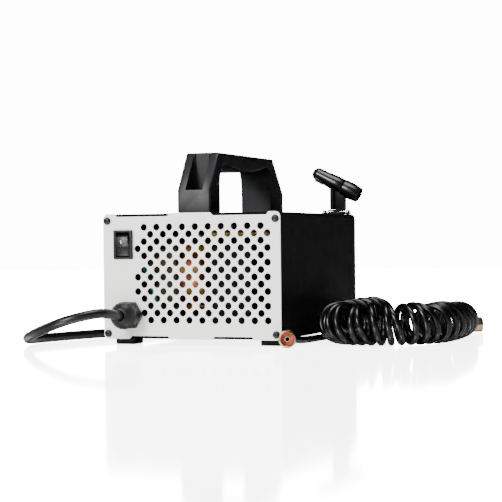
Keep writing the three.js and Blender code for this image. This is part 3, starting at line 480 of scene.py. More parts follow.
def mains_route():
    """Out of the gland, back along the floor, six turns of a coil, and up to the plug on top of it."""
    half = size("mains_lead") / 2
    route = [
        (-48, -18.3, 22), (-48.6, -27, 23.6), (-53.5, -38, 24.8), (-63.5, -46.5, 22.9), (-76.5, -50, 19.3),
        (-93, -46.5, 13.9), (-108.5, -36, 8.9), (-120, -21.5, 5.6), (-126, -4, 4), (-126.5, 12, 3.6),
        (-122.5, 30, 3.6), (-115.5, 56, 3.6), (-107, 82, 3.6), (-97.5, 115, 3.6), (-88.5, 150, 3.6),
        (-80.5, 180, 3.6), (-73.8, 206, 3.6), (-70.6, 222, 3.6),
    ]
    outer, inner = COIL_RADIUS + half, COIL_RADIUS - half
    layers = [half + 0.1, half * 3 + 0.1, half * 5 + 0.1]
    turns = [(outer, 0), (inner, 0), (inner, 1), (outer, 1), (outer, 2), (inner, 2), (inner, 2)]
    for step in range(97):
        angle = math.radians(165 - step * 20)
        turn, part = divmod(step / 18, 1)
        (r1, l1), (r2, l2) = turns[int(turn)], turns[int(turn) + 1]
        ease = smooth((part - 0.83) / 0.17)
        radius = r1 + (r2 - r1) * ease
        height = layers[l1] + (layers[l2] - layers[l1]) * ease
        route.append((COIL.x + radius * math.cos(angle), COIL.y + radius * math.sin(angle), height))
    # The last turn climbs off the coil and then widens, so that it can bend gently into the plug.
    for degrees in range(385, 165, -20):
        angle = math.radians(degrees)
        radius = inner + 8 * smooth((310 - degrees) / 139)
        height = layers[2] + 7.7 * smooth((395 - degrees) / 150)
        route.append((COIL.x + radius * math.cos(angle), COIL.y + radius * math.sin(angle), height))
    for degrees in range(150, 90, -15):
        angle = math.radians(degrees)
        height = PLUG.z - 1.9 * (degrees - 90) / 90
        route.append((PLUG.x + 30 * math.cos(angle), PLUG.y - 30 + 30 * math.sin(angle), height))
    route.append(tuple(PLUG))
    return curved(route, 4)


def hose_route():
    """From the front nut along the floor, round the coil's turns, and out to the rear nut."""
    lead = [
        tuple(NUT_MOUTH - NUT_AXIS * 15.8), tuple(NUT_MOUTH - NUT_AXIS * 18.3), (71.4, 8, 5.9),
        (71.6, 17, 4.8), (72.2, 30, 3.3), (73.2, 50, 2.8), (75.4, 90, 2.8), (77, 130, 2.8),
        (78.5, 149, 2.8), (82, 156.8, 2.8),
        (88, 158.8, 2.8),
    ]
    middle = curved(
        [
            (95, 152, 0), (93, 110, 0), (92.5, 75, 0), (97, 44, 0), (112, 27, 0), (133, 24, 0), (153, 33, 0),
            (166, 55, 0), (169.5, 90, 0), (167, 125, 0), (163, 150, 0),
        ],
        0.35,
    )
    radius = size("hose_coil")
    # The turns are close up to 85 mm along the middle, even from 105 to 175 mm, and then open out.
    close, even, opened = 5.7, 7.0, 7.4
    travelled = 0.0
    phases = [0.0]
    for a, b in zip(middle, middle[1:]):
        travelled += (b - a).length
        if travelled < 85:
            pitch = close
        elif travelled < 105:
            pitch = close + 1.3 * (travelled - 85) / 20
        elif travelled < 175:
            pitch = even
        else:
            pitch = even + opened * min(1, (travelled - 175) / 60)
        phases.append(phases[-1] + (b - a).length / pitch)
    turns = round(phases[-1])
    scale = turns / phases[-1]
    coil = []
    wanted = 0.0
    for i, (point, phase) in enumerate(zip(middle, phases)):
        phase *= scale
        if phase < wanted and i < len(middle) - 1:
            continue
        wanted = phase + 1 / 26
        tangent = (middle[min(i + 1, len(middle) - 1)] - middle[max(i - 1, 0)]).normalized()
        side = tangent.cross(UP)
        angle = -math.pi / 2 - phase * 2 * math.pi
        # Turns differ a little in size, and the looser ones towards the end lean.
        late = max(0, phase - turns + 8) / 8
        loose = radius * (1 - 0.025 * (1 + math.sin(phase * 1.7)) - 0.16 * late * late)
        lean = -1.6 + 1.5 * math.sin(phase * 2.3) - 3.4 * late
        rise = 2.6 + loose * (1 + math.sin(angle))
        along = tangent * lean * (1 + math.sin(angle))
        coil.append(point + side * loose * math.cos(angle) + along + UP * rise)
    tail = [
        (158, 153.6, 2.8), (149.5, 155, 2.8), (140.5, 159.5, 2.8), (135, 168, 3), (136.5, 178.5, 4.2),
        (141, 184.6, 6), (144, 186.6, 6.3),
    ]
    return curved([*lead, *coil[1:-1], *tail], 2.2)


def measured(points):
    return sum((b - a).length for a, b in zip(points, points[1:])) * MM


class BLOWER_OT_cords(bpy.types.Operator):
    """Lay the mains lead and the coiled air hose"""

    bl_idname = "blower.cords"
    bl_label = "Mains lead and air hose"

    def execute(self, context):
        mains = mains_route()
        lead = strand(
            "mains_lead", mains, size("mains_lead") / 2, "case", "cord_vinyl", "mains_cord", "mains_coil"
        )
        size("mains_lead") * MM
        hose = hose_route()
        pipe = strand(
            "air_hose", hose, size("air_hose") / 2, "case", "hose_polyurethane", "hose_lead", "hose_coil",
            "hose_tail",
        )
        size("air_hose") * MM
        print("lengths in metres:", round(measured(mains), 3), round(measured(hose), 3))
        return {"FINISHED"}


class BLOWER_OT_plug(bpy.types.Operator):
    """Make the plug on the mains lead"""

    bl_idname = "blower.plug"
    bl_label = "Plug"

    def execute(self, context):
        side = [(0, -5), (7, -7.6), (16.2, -11.2), (30, -14.2), (36, -14.9)]
        body = prism(side + [(x, -y) for x, y in reversed(side)], -5.5, 5.5)
        soften(body, 1.8, 4)
        grips = [block((x, -9.5, -5.7), (x + 1.2, 9.5, 5.7), 0.3) for x in (14, 17, 20, 23)]
        pins = [
            moved(
                turned([(0, 35), (2.4, 35), (2.4, 54.2), (2.2, 54.7), (1.7, 55), (0, 55)], 24),
                aimed((1, 0, 0)), at(0, y, 0),
            )
            for y in (-9.5, 9.5)
        ]
        finished(moved(together(body, *grips), at(PLUG)), "power_plug", "case", "cord_vinyl", "mains_plug")
        finished(moved(together(*pins), at(PLUG)), "plug_pins", "case", "bright_steel")
        return {"FINISHED"}


class BLOWER_OT_hose_ends(bpy.types.Operator):
    """Make the brass nuts, the washer and the crimped sleeves on the air hose"""

    bl_idname = "blower.hose_ends"
    bl_label = "Hose ends"

    def execute(self, context):
        half = size("air_hose") / 2
        # The nut's wide bore stays open in front of the nipple, for the thread that it is screwed on.
        nut = [
            (2.8, 12), (5.6, 12), (6, 11.6), (6, 9.6), (5.75, 9.3), (6, 9), (6, 0.6), (5.7, 0.15), (5.3, 0),
            (4.9, 0), (4.5, 0.5), (4.5, 7), (2.8, 7),
        ]

        def sleeve(radius, length, depth):
            end = depth - 12.3
            return [
                (1.4, end), (2.2, end), (2.4, end + 0.25), (2.4, 0), (radius - 0.3, 0), (radius, 0.3),
                (radius, length * 0.2), (radius - 0.3, length * 0.25), (radius, length * 0.3),
                (half + 1, length), (half, length), (1.4, length),
            ]

        mouth = at(NUT_MOUTH) @ aimed(-NUT_AXIS)
        finished(moved(turned(nut), mouth), "hose_end_nut", "nut_front", "brass", "hose_nut_front")
        washer = turned([(2.75, 4), (4.2, 4), (4.2, 5.2), (2.75, 5.2)])
        finished(
            moved(soften(washer, 0.2), mouth), "hose_end_washer", "nut_front", "red_fibre",
            "hose_washer_front",
        )
        crimp = moved(turned(sleeve(3.9, 3.2, 4)), mouth @ at(0, 0, 12.3))
        finished(crimp, "hose_end_ferrule", "case", "brass", "hose_ferrule_front")
        along = Vector((math.cos(math.radians(28)), math.sin(math.radians(28)), 0))
        tail = Vector((144, 186.6, 6.3))
        far = at(tail + along * 26.6) @ aimed(-along)
        finished(moved(turned(nut), far), "hose_far_nut", "nut_rear", "brass", "hose_nut_rear")
        guard = moved(turned(sleeve(4.6, 14, 6.2)), far @ at(0, 0, 12.3))
        finished(guard, "hose_far_guard", "case", "bright_steel", "hose_guard_rear")
        return {"FINISHED"}


# ---- case -----------------------------------------------------------------------------------------
def panel_outline():
    corners = []
    for x, z, start in ((64.75, 8.35, -90), (64.75, 91.75, 0)):
        arc = [math.radians(start + 15 * i) for i in range(7)]
        corners.append([(x + 3.75 * math.cos(a), z + 3.75 * math.sin(a)) for a in arc])
    right = [
        (16, PANEL_LOW), (18, PANEL_LOW + 2.2), (46.5, PANEL_LOW + 2.2), (48.5, PANEL_LOW), *corners[0],
        *corners[1], (60, 95.5), (58, 93.3), (17.5, 93.3), (15.5, 95.5),
    ]
    return right + [(-x, z) for x, z in reversed(right)]


def vents(x0, z0, rows, shorter, cutouts):
    """The staggered rows of vents, without those that would run into another cut-out."""
    found = []
    radius = size("vent") / 2
    for row in range(rows):
        longer = row % 2
        for i in range(shorter + longer):
            x = x0 + (i - longer / 2) * size("vent_pitch")
            z = z0 - row * size("vent_rows")
            clear = all(math.hypot(x - cx, z - cz) > r + 3.7 for cx, cz, r in cutouts)
            if clear and abs(x) < 64.75 and z > 11.2:
                found.append(ring(radius, 24, x, z))
    return found


def sheet_panel(holes):
    """The end panel's outline with its holes, as a sheet in Y from 0 to its thickness."""
    curve = bpy.data.curves.new("sheet", "CURVE")
    curve.dimensions = "2D"
    curve.fill_mode = "BOTH"
    curve.extrude = SHEET / 2
    for points in (panel_outline(), *holes):
        line = curve.splines.new("POLY")
        line.points.add(len(points) - 1)
        for spot, (x, z) in zip(line.points, points):
            spot.co = (x, z, 0, 1)
        line.use_cyclic_u = True
    obj = bpy.data.objects.new("sheet", curve)
    bpy.context.collection.objects.link(obj)
    shape = bmesh.new()
    mesh = bpy.data.meshes.new_from_object(obj.evaluated_get(bpy.context.evaluated_depsgraph_get()))
    shape.from_mesh(mesh)
    bpy.data.meshes.remove(mesh)
    bpy.data.curves.remove(curve)
    return moved(shape, ALONG_Y, at(0, SHEET / 2, 0))


SCREW_HOLES = [ring(1.8, 16, x, z) for x in (-65, 65) for z in (8.6, 90.4)]


class BLOWER_OT_panels(bpy.types.Operator):
    """Make the two perforated end panels"""

    bl_idname = "blower.panels"
    bl_label = "End panels"

    def execute(self, context):
        window = [(SWITCH.x + a * 6.6, SWITCH.z + b * 9.6) for a, b in ((-1, -1), (1, -1), (1, 1), (-1, 1))]
        reach = math.hypot(15, 21) / 3
        keep = [(GLAND.x, GLAND.z, 7.8), *((SWITCH.x, SWITCH.z + s * 21, reach) for s in (0.5, -0.5))]
        holes = [*SCREW_HOLES, window, ring(7.8, 32, GLAND.x, GLAND.z), *vents(-36.2, 85.5, 14, 10, keep)]
        edge = size("panel_edge")
        finished(sheet_panel(holes), "end_panel_front", "case", "white_powder_coat", "front_panel", edge=edge)
        keep = [(OUTLET_X, SHAFT.z, 5.2)]
        holes = [*SCREW_HOLES, ring(5.2, 32, OUTLET_X, SHAFT.z), *vents(-54, 61, 7, 5, keep)]
        back = moved(sheet_panel(holes), at(0, DEPTH - SHEET, 0))
        finished(back, "end_panel_rear", "case", "white_powder_coat", "rear_panel", edge=edge)
        return {"FINISHED"}


class BLOWER_OT_cover(bpy.types.Operator):
    """Make the folded cover with its lips, and the base plate"""

    bl_idname = "blower.cover"
    bl_label = "Cover and base"

    def execute(self, context):
        front, rear = 1.5, DEPTH - 1.5
        wall = HALF_WIDTH - SHEET
        bend = size("cover_bend")
        arc = [math.radians(15 * i) for i in range(7)]

        def corner(x, z, radius):
            return [(x + radius * math.cos(a), z + radius * math.sin(a)) for a in arc]

        outside = [(HALF_WIDTH, COVER_LOW), *corner(HALF_WIDTH - bend, COVER_TOP - bend, bend)]
        inside = [(wall, COVER_LOW), *corner(HALF_WIDTH - bend, COVER_TOP - bend, bend - SHEET)]
        section = [
            *outside, *((-x, z) for x, z in reversed(outside)), *((-x, z) for x, z in inside),
            *reversed(inside),
        ]
        parts = [moved(prism(section, front, rear), ALONG_Y)]
        for y in (front, rear - SHEET):
            parts.append(block((-wall - 0.6, y, COVER_TOP - 6.8), (wall + 0.6, y + SHEET, COVER_TOP - 0.6)))
            for side in (-1, 1):
                x = sorted((side * (wall + 0.6), side * (wall - 9.4)))
                parts.append(block((x[0], y, COVER_TOP - 10), (x[1], y + SHEET, COVER_TOP - 0.6)))
                parts.append(block((x[0], y, 6.5), (x[1], y + SHEET, 13.5)))
        finished(together(*parts), "folded_cover", "case", "black_powder_coat", "top_cover", edge=0.12)
        base = [block((-67, front, COVER_LOW), (67, rear, COVER_LOW + SHEET), 0.2)]
        for y in (front, rear - SHEET):
            base.append(block((-57, y, COVER_LOW), (57, y + SHEET, COVER_LOW + 5.2), 0.2))
        finished(together(*base), "case_floor", "case", "black_powder_coat", "base_plate")
        return {"FINISHED"}


class BLOWER_OT_feet(bpy.types.Operator):
    """Make the four moulded rubber feet"""

    bl_idname = "blower.feet"
    bl_label = "Feet"

    def execute(self, context):
        for place, y in (("front", 11.0), ("rear", DEPTH - 26)):
            for hand, side in (("left", -1), ("right", 1)):
                x = side * 56.65
                pad = block((x - 7.65, y, 0), (x + 7.65, y + 15, 4.7), 0.7, 3)
                treads = [
                    block((x - 6, y + 2.5 + 3.2 * i, 0), (x + 6, y + 4 + 3.2 * i, 0.4)) for i in range(4)
                ]
                finished(
                    together(pad, *treads), f"rubber_foot_{place}_{hand}", "case", "black_rubber",
                    f"foot_{place}_{hand}",
                )
        return {"FINISHED"}


class BLOWER_OT_screws(bpy.types.Operator):
    """Make the eight button-head screws of the end panels"""

    bl_idname = "blower.screws"
    bl_label = "Panel screws"

    def execute(self, context):
        head = size("screw_head")
        profile = [
            (0, -7), (1.2, -7), (1.5, -6.6), (1.5, 0), (head, 0), (head, 0.45), (head * 0.93, 0.95),
            (head * 0.76, 1.4), (head * 0.5, 1.65), (0, 1.7),
        ]
        for place, face, out in (("front", -0.3, FRONT), ("rear", DEPTH + 0.3, -FRONT)):
            for hand, x in (("left", -65), ("right", 65)):
                for height, z in (("lower", 8.6), ("upper", 90.4)):
                    socket = prism(ring(1.15, 6), 0.75, 3)
                    screw = carved(turned(profile, 32), socket)
                    moved(screw, aimed(out), at(x, face, z))
                    finished(
                        screw, f"button_screw_{place}_{height}_{hand}", "case", "black_screws",
                        f"{place}_screw_{height}_{hand}",
                    )
        return {"FINISHED"}


class BLOWER_OT_handle(bpy.types.Operator):
    """Make the moulded carrying handle with its tool pocket"""

    bl_idname = "blower.handle"
    bl_label = "Carrying handle"

    def execute(self, context):
        front, rear, top = 8.0, 165.6, SEAT + 44.1
        inner_front, inner_rear, under = front + 20, rear - 27.6, top - 8

        def swept(a, b, c, count):
            """Points after the first on a quadratic curve with its pull point in the middle."""
            parts = [i / count for i in range(1, count + 1)]
            return [tuple(Vector(a).lerp(Vector(b), t).lerp(Vector(b).lerp(Vector(c), t), t)) for t in parts]

        belly = ((inner_front + inner_rear) / 2, under - 9.6)
        outline = [(front, SEAT), (inner_front, SEAT), (inner_front, SEAT + 20.5)]
        outline += swept(outline[-1], (inner_front + 1, under - 1), (inner_front + 10, under), 8)
        outline += swept(outline[-1], belly, (inner_rear - 10, under + 1), 14)
        outline += swept(outline[-1], (inner_rear - 1, under), (inner_rear, SEAT + 18.5), 8)
        outline += [(inner_rear, SEAT), (rear, SEAT), (rear, SEAT + 17.5), (rear - 23.6, top)]
        outline += [(front + 18, top), (front, SEAT + 16.5)]
        grip = moved(prism(outline, -13, 13), ALONG_X)
        flanks = [e for e in grip.edges if abs(abs(e.verts[0].co.x) - 13) < 0.01 and e.calc_face_angle(0) > 1]
        flanks = [e for e in flanks if abs(e.verts[0].co.x - e.verts[1].co.x) < 0.01]
        bmesh.ops.bevel(
            grip, geom=flanks, offset=size("handle_edge"), offset_type="OFFSET", affect="EDGES", segments=4,
            profile=0.5, material=-1, clamp_overlap=True,
        )
        apex = front + 18
        pocket = [(-6.5, 3), (6.5, 3), (6.5, apex - 1.5), (5, apex), (-5, apex), (-6.5, apex - 1.5)]
        cutters = [prism(pocket, SEAT + 16.5, SEAT + 90)]
        cutters.append(block((-20, apex + 4.2, top - 0.9), (20, apex + 5.6, top + 4)))
        for y in (18, 151.8):
            cutters.append(moved(turned([(0, -1), (2.3, -1), (2.3, 14), (0, 14)], 24), at(0, y, SEAT)))
        finished(carved(grip, *cutters), "carrying_handle", "case", "black_nylon", "handle", edge=0.3)
        return {"FINISHED"}


# ---- tool rest ------------------------------------------------------------------------------------
REST_HEAD_Z = COVER_TOP + 25
REST_TILT = math.radians(27.5)
REST_AXIS = Vector((math.cos(REST_TILT), 0, -math.sin(REST_TILT)))


class BLOWER_OT_tool_rest(bpy.types.Operator):
    """Make the swivelling tool rest on its screwed flange"""

    bl_idname = "blower.tool_rest"
    bl_label = "Tool rest"

    def execute(self, context):
        head_place = at(REST.x, REST.y, REST_HEAD_Z) @ aimed(REST_AXIS)
        arc = [math.radians(15 * i - 90) for i in range(13)]
        right = [(5 + 7 * math.cos(a), 7 * math.sin(a)) for a in arc]
        outline = right + [(-x, -y) for x, y in right]
        plate = moved(prism(outline, SEAT, SEAT + 1.6), at(REST))
        plate = soften(plate, 0.45, 3)
        boss = turned([(2.9, 1.2), (7.3, 1.2), (7.3, 1.8), (7, 2.1), (2.9, 2.1)])
        moved(boss, at(REST.x, REST.y, SEAT))
        finished(together(plate, boss), "rest_base", "case", "black_nylon", "rest_flange")
        for hand, x in (("left", -9.7), ("right", 9.7)):
            profile = [
                (0, -5), (1, -5), (1.1, -4.6), (1.1, 0), (1.9, 0), (1.9, 0.35), (1.55, 1), (0.9, 1.3),
                (0, 1.35),
            ]
            slotted = block((-0.25, -3, 0.75), (0.25, 3, 3))
            screw = moved(carved(turned(profile, 32), slotted), at(REST.x + x, REST.y, SEAT + 1.9))
            finished(screw, f"flange_screw_{hand}", "case", "bright_steel", f"rest_screw_{hand}")
        disc = turned([(0, 2.4), (7, 2.4), (7.2, 2.6), (7.2, 3.3), (6.9, 3.6), (0, 3.6)])
        pin = turned([(0, 1.3), (2.8, 1.3), (2.8, 3), (0, 3)], 32)
        moved(disc, at(REST.x, REST.y, SEAT))
        moved(pin, at(REST.x, REST.y, SEAT))
        post = block((REST.x, REST.y - 3.5, SEAT + 3), (REST.x + 7.4, REST.y + 3.5, REST_HEAD_Z), 0.4)
        ribs = []
        for i in range(4):
            low = (REST.x + 0.7 + 1.7 * i, REST.y - 3.9, SEAT + 3.7)
            ribs.append(block(low, (REST.x + 1.5 + 1.7 * i, REST.y + 3.9, REST_HEAD_Z), 0.2))

        def clearance(radius):
            """The room that the bar takes out of what stands under it."""
            return moved(turned([(0, -30), (radius, -30), (radius, 30), (0, 30)]), head_place)

        upright = carved(post, clearance(6.1))
        ribbed = carved(together(*ribs), clearance(6.1))
        finished(together(disc, pin, upright, ribbed), "rest_upright", "rest", "black_nylon", "rest_post")
        rod = moved(turned([(0, 3.9), (2.4, 3.9), (2.4, 27), (0, 27)], 32), at(REST.x - 2.9, REST.y, SEAT))
        finished(carved(rod, clearance(6)), "rest_stay", "rest", "gloss_black_plastic", "rest_rod")
        arc = [math.radians(9 * i) for i in range(11)]
        rounded = [(5.3 * math.sin(a), -21.5 + 5.3 * (1 - math.cos(a))) for a in arc]
        grip = turned(
            [
                *rounded, (5.5, -10), (5.9, -6), (6.3, 0), (6.3, 6), (6.1, 6.4), (5.4, 6.5),
                (5.4, 19), (0, 19),
            ],
            64,
        )
        # A small moulded step along the top of the round end.
        step = soften(block((-2.4, 4.2, -17), (2.4, 5.9, -9), 0.5, 3), 0.1)
        turn = Matrix.Rotation(math.radians(150), 4, "Z")
        grip = together(grip, moved(step, turn))
        finished(moved(grip, head_place), "rest_bar", "rest", "gloss_black_plastic", "rest_head")
        collar = turned(
            [
                (5.45, 6.8), (6.3, 6.8), (6.6, 7.1), (6.75, 7.8), (6.75, 15), (6.5, 17), (5.95, 21.1),
                (5.75, 21.5), (5.5, 21.5), (5.45, 21.2),
            ],
            64,
        )
        finished(
            moved(collar, head_place), "rest_sleeve", "rest", "black_nylon", "rest_collar",
            material="gloss_black_plastic",
        )
        return {"FINISHED"}


# ---- switch and gland -----------------------------------------------------------------------------
class BLOWER_OT_switch(bpy.types.Operator):
    """Make the rocker switch with its printed marks and terminals"""

    bl_idname = "blower.switch"
    bl_label = "Rocker switch"

    def execute(self, context):
        x, z = SWITCH.x, SWITCH.z
        frame_part = block((x - 7.5, -2, z - 10.5), (x + 7.5, -0.3, z + 10.5), 0.6, 3)
        body = block((x - 6.3, -0.5, z - 9.3), (x + 6.3, 16, z + 9.3), 0.4)
        low, high = (x - 5.3, -10, z - 9.03), (x + 5.3, 8.4, z + 9.03)
        housing = together(carved(frame_part, block(low, high)), carved(body, block(low, high)))
        blades = [block((x - 0.4, 15, z + dz - 2.4), (x + 0.4, 22, z + dz + 2.4), 0.15) for dz in (-5, 0, 5)]
        finished(housing, "switch_frame", "case", "black_nylon", "switch_body", edge=0.15)
        finished(together(*blades), "switch_blades", "case", "bright_steel")
        turn = at(SWITCH) @ Matrix.Rotation(math.radians(12), 4, "X")
        side = [(-6.42, -7.12), (0, -8.63), (3, -4), (3, 4), (0, 8.63), (-6.42, 7.12), (-4.91, 0)]
        key = soften(moved(prism(side, -5, 5), ALONG_X), 0.45, 3, sharper=20)
        finished(moved(key, turn), "rocker_key", "rocker", "gloss_black_plastic", "switch_rocker")
        tilt = math.atan2(1.51, 7.12)
        tick = block((-0.3, -0.05, -1.4), (0.3, 0.03, 1.4))
        moved(tick, Matrix.Rotation(tilt, 4, "X"), at(-0.8, -5.66, 3.2), turn)
        round_mark = turned([(0.95, 0), (1.4, 0), (1.4, 0.08), (0.95, 0.08)], 32)
        moved(round_mark, aimed(FRONT), Matrix.Rotation(-tilt, 4, "X"), at(-0.8, -5.63, -3.9), turn)
        finished(
            together(tick, round_mark), "rocker_marks", "rocker", "gloss_black_plastic",
            material="white_print",
        )
        return {"FINISHED"}


class BLOWER_OT_gland(bpy.types.Operator):
    """Make the cable gland that holds the mains lead"""

    bl_idname = "blower.gland"
    bl_label = "Cable gland"

    def execute(self, context):
        base = at(GLAND) @ aimed(FRONT)
        across = 9.5 / math.cos(math.pi / 6)

        def collar(low, high):
            """A hexagon 19 mm across its flats with a bore, and its corners turned down."""
            return soften(prism(ring(across, 6), low, high), 0.4, 2)

        bore = turned([(0, -40), (4, -40), (4, 40), (0, 40)])
        thread = turned([(0, -17), (7.5, -17), (7.5, 1), (6.7, 1.2), (6.7, 8.1), (0, 8.1)])
        body = carved(together(collar(0.3, 4.3)), bore)
        inner = carved(thread, turned([(0, -40), (4, -40), (4, 40), (0, 40)]))
        finished(moved(together(body, inner), base), "gland_stem", "case", "black_nylon", "gland_body")
        dome = turned(
            [
                (7.2, 4.6), (9, 4.6), (9.4, 5.2), (9.4, 12.6), (9.1, 14), (8.2, 15.6), (6.8, 17), (5.4, 17.8),
                (4.8, 18), (4, 18),
                (4, 8.6), (7.2, 8.6),
            ],
            72,
        )
        chosen = []
        for face in dome.faces:
            middle = face.calc_center_median()
            side = 5.4 < middle.z < 12.4 and face.normal.z < 0.1 and middle.xy.length > 9
            if side and int(math.degrees(math.atan2(*middle.yx)) // 5) % 3 == 0:
                chosen.append(face)
        raised = bmesh.ops.extrude_discrete_faces(dome, faces=chosen)["faces"]
        for face in raised:
            bmesh.ops.translate(dome, vec=face.normal * 0.45, verts=face.verts)
        bmesh.ops.recalc_face_normals(dome, faces=dome.faces)
        finished(moved(dome, base), "gland_cap", "case", "black_nylon", "gland_dome")
        back = turned([(0, -40), (7.9, -40), (7.9, 40), (0, 40)])
        nut = carved(collar(-5.5, -1.5), back)
        finished(moved(nut, base), "gland_backnut", "case", "black_nylon", "gland_locknut")
        return {"FINISHED"}


# ---- inside ---------------------------------------------------------------------------------------
class BLOWER_OT_windings(bpy.types.Operator):
    """Make the motor's windings, its tapes and the wires inside the case"""

    bl_idname = "blower.windings"
    bl_label = "Windings and wires"

    def execute(self, context):
        for name, low, high in (("right", -21.7, -2.3), ("left", -51.7, -44.3)):
            bead = min(2.6, (high - low) / 2 - 0.2)
            corner = [math.radians(18 * i) for i in range(6)]
            outer = [(27 - bead + bead * math.sin(a), high - bead + bead * math.cos(a)) for a in corner]
            lower = [(27 - bead + bead * math.cos(a), low + bead - bead * math.sin(a)) for a in corner]
            profile = [(21.4, low), (21.4, high), *outer, *lower]
            coil = moved(turned(profile, 72), aimed((1, 0, 0)), at(0, SHAFT.y, SHAFT.z))
            finished(coil, f"wound_coil_{name}", "case", "copper_winding", f"winding_{name}")
        for i in range(10):
            angle = math.radians(36 * i + 8)
            tape = block((-21.9, -2.2, 26.2), (-2.1, 2.2, 27.5), 0.3)
            moved(tape, Matrix.Rotation(angle, 4, "X"), at(0, SHAFT.y, SHAFT.z))
            finished(tape, f"coil_tape_{i + 1}", "case", "copper_winding", material="yellow_tape")
        wire = [(-46, 22, 18), (-40, 20, 22), (-36, 19, 30), (-37, 19, 38), (-44, 20, 52), (-50, 24, 62)]
        strand("switch_wire", curved(wire, 2), 1.3, "case", "cord_vinyl", material="teal_wire")
        band = [(9, 16, 80), (20, 15, 80.4), (36, 15, 80), (50, 16, 80.2), (59, 18, 79)]
        strand("motor_wire", curved(band, 2), 1.6, "case", "cord_vinyl", material="yellow_tape")
        return {"FINISHED"}


class BLOWER_OT_inner_parts(bpy.types.Operator):
    """Give the motor, pump and other carried-over parts their finishes"""

    bl_idname = "blower.inner_parts"
    bl_label = "Inner parts"

    def execute(self, context):
        for part in frame["record"]["subparts"]:
            for holder in frame["nodes"][part["node"]].material_slots:
                holder.material = MATERIALS[part["material_slot"]]
        return {"FINISHED"}


def flat_sheet(name, material, *places):
    """A flat sheet of the stage, 2 m square before it is put in its place."""
    shape = bmesh.new()
    bmesh.ops.create_grid(shape, x_segments=1, y_segments=1, size=1)
    mesh = bpy.data.meshes.new(name)
    moved(shape, *places).to_mesh(mesh)
    shape.free()
    mesh.materials.append(material)
    obj = bpy.data.objects.new(name, mesh)
    bpy.context.collection.objects.link(obj)
    return obj


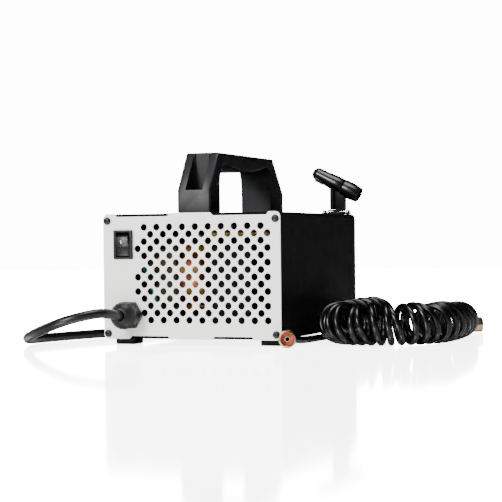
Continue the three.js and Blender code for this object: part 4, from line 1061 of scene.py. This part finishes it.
class BLOWER_OT_stage(bpy.types.Operator):
    """Make the camera, the floor, the lights and the white surroundings"""

    bl_idname = "blower.stage"
    bl_label = "Stage"

    def execute(self, context):
        set_camera()
        # Polished white acrylic: a matt base that is white to the camera, under a slightly blurred mirror.
        made, tree = blank("white_acrylic")
        path = node(tree, "ShaderNodeLightPath")
        seen = node(
            tree, "ShaderNodeMapRange",
            {"Value": path.outputs["Is Camera Ray"], "To Min": 0.0, "To Max": 12.0},
        )
        matt = node(tree, "ShaderNodeBsdfDiffuse", {"Color": (0.93, 0.93, 0.93, 1)})
        glow = node(tree, "ShaderNodeEmission", {"Strength": seen.outputs[0]})
        lit = node(tree, "ShaderNodeAddShader", {0: matt.outputs[0], 1: glow.outputs[0]})
        mirror = node(tree, "ShaderNodeBsdfGlossy", {"Color": (1, 1, 1, 1), "Roughness": 0.08})
        mixed = node(tree, "ShaderNodeMixShader", {"Fac": 0.6, 1: lit.outputs[0], 2: mirror.outputs[0]})
        node(tree, "ShaderNodeOutputMaterial", {"Surface": mixed.outputs[0]})
        ground = flat_sheet("floor", made, Matrix.Diagonal((4, 3.5, 1, 1)), at(-1, -0.5, 0))
        # A glowing white sheet far behind, which only the floor mirrors, so that the object's own mirror
        # image shows against it. The floor shows it only directly, and doesn't throw it on to the object.
        made, tree = blank("lit_backdrop")
        path = node(tree, "ShaderNodeLightPath")
        direct = node(tree, "ShaderNodeMath", {0: path.outputs["Ray Depth"], 1: 1.5}, operation="LESS_THAN")
        strength = node(tree, "ShaderNodeMath", {0: direct.outputs[0], 1: 24.0}, operation="MULTIPLY")
        glow = node(tree, "ShaderNodeEmission", {"Strength": strength.outputs[0]})
        node(tree, "ShaderNodeOutputMaterial", {"Surface": glow.outputs[0]})
        backdrop = flat_sheet(
            "backdrop", made, Matrix.Diagonal((4, 1.5, 1, 1)), Matrix.Rotation(math.pi / 2, 4, "X"),
            at(-1, 3, 1.5),
        )
        backdrop.visible_camera = False
        backdrop.visible_diffuse = False
        mirrors = bpy.data.collections.new("floor_only")
        mirrors.objects.link(ground)
        backdrop.light_linking.receiver_collection = mirrors
        world = bpy.data.worlds.new("studio")
        bpy.context.scene.world = world
        world.use_nodes = True
        tree = world.node_tree
        tree.nodes.clear()
        path = node(tree, "ShaderNodeLightPath")
        strength = node(
            tree, "ShaderNodeMapRange",
            {"Value": path.outputs["Is Camera Ray"], "To Min": 0.05, "To Max": 14.0},
        )
        light = node(tree, "ShaderNodeBackground", {"Color": (1, 1, 1, 1), "Strength": strength.outputs[0]})
        node(tree, "ShaderNodeOutputWorld", {"Surface": light.outputs[0]})
        for name, spot, target, width, power in (
            ("overhead", (0.15, -0.25, 1.3), (0.05, 0, 0), 0.7, 22),
            ("front_fill", (-0.7, -1.9, 0.9), (0, 0, 0.05), 0.7, 68),
            ("left_edge", (-1.3, 0.5, 0.7), (0, 0, 0.05), 0.4, 4),
        ):
            data = bpy.data.lights.new(name, "AREA")
            data.size = width
            data.energy = power
            lamp = bpy.data.objects.new(name, data)
            lamp.location = spot
            lamp.rotation_euler = (Vector(target) - Vector(spot)).to_track_quat("-Z", "Y").to_euler()
            bpy.context.collection.objects.link(lamp)
        return {"FINISHED"}


OPERATORS = (
    BLOWER_OT_stage,
    BLOWER_OT_plug,
    BLOWER_OT_hose_ends,
    BLOWER_OT_cords,
    BLOWER_OT_panels,
    BLOWER_OT_cover,
    BLOWER_OT_feet,
    BLOWER_OT_screws,
    BLOWER_OT_handle,
    BLOWER_OT_tool_rest,
    BLOWER_OT_switch,
    BLOWER_OT_gland,
    BLOWER_OT_windings,
    BLOWER_OT_inner_parts,
)


class BLOWER_PT_panel(bpy.types.Panel):
    """The sizes, colours and pieces of the blower"""

    bl_idname = "BLOWER_PT_panel"
    bl_label = "Air blower"
    bl_space_type = "VIEW_3D"
    bl_region_type = "UI"
    bl_category = "Blower"

    def draw(self, context):
        for group in (context.scene.blower_sizes, context.scene.blower_colours):
            for name in type(group).__annotations__:
                self.layout.prop(group, name)
        for operator in OPERATORS:
            self.layout.operator(operator.bl_idname)


CLASSES = (BlowerSizes, BlowerColours, *OPERATORS, BLOWER_PT_panel)


def register():
    for item in CLASSES:
        bpy.utils.register_class(item)
    bpy.types.Scene.blower_sizes = bpy.props.PointerProperty(type=BlowerSizes)
    bpy.types.Scene.blower_colours = bpy.props.PointerProperty(type=BlowerColours)


def unregister():
    del bpy.types.Scene.blower_colours
    del bpy.types.Scene.blower_sizes
    for item in reversed(CLASSES):
        bpy.utils.unregister_class(item)


def main():
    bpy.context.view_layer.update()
    register()
    MATERIALS.update(make_materials())
    for operator in OPERATORS:
        group, name = operator.bl_idname.split(".")
        getattr(getattr(bpy.ops, group), name)()


if __name__ == "__main__":
    main()
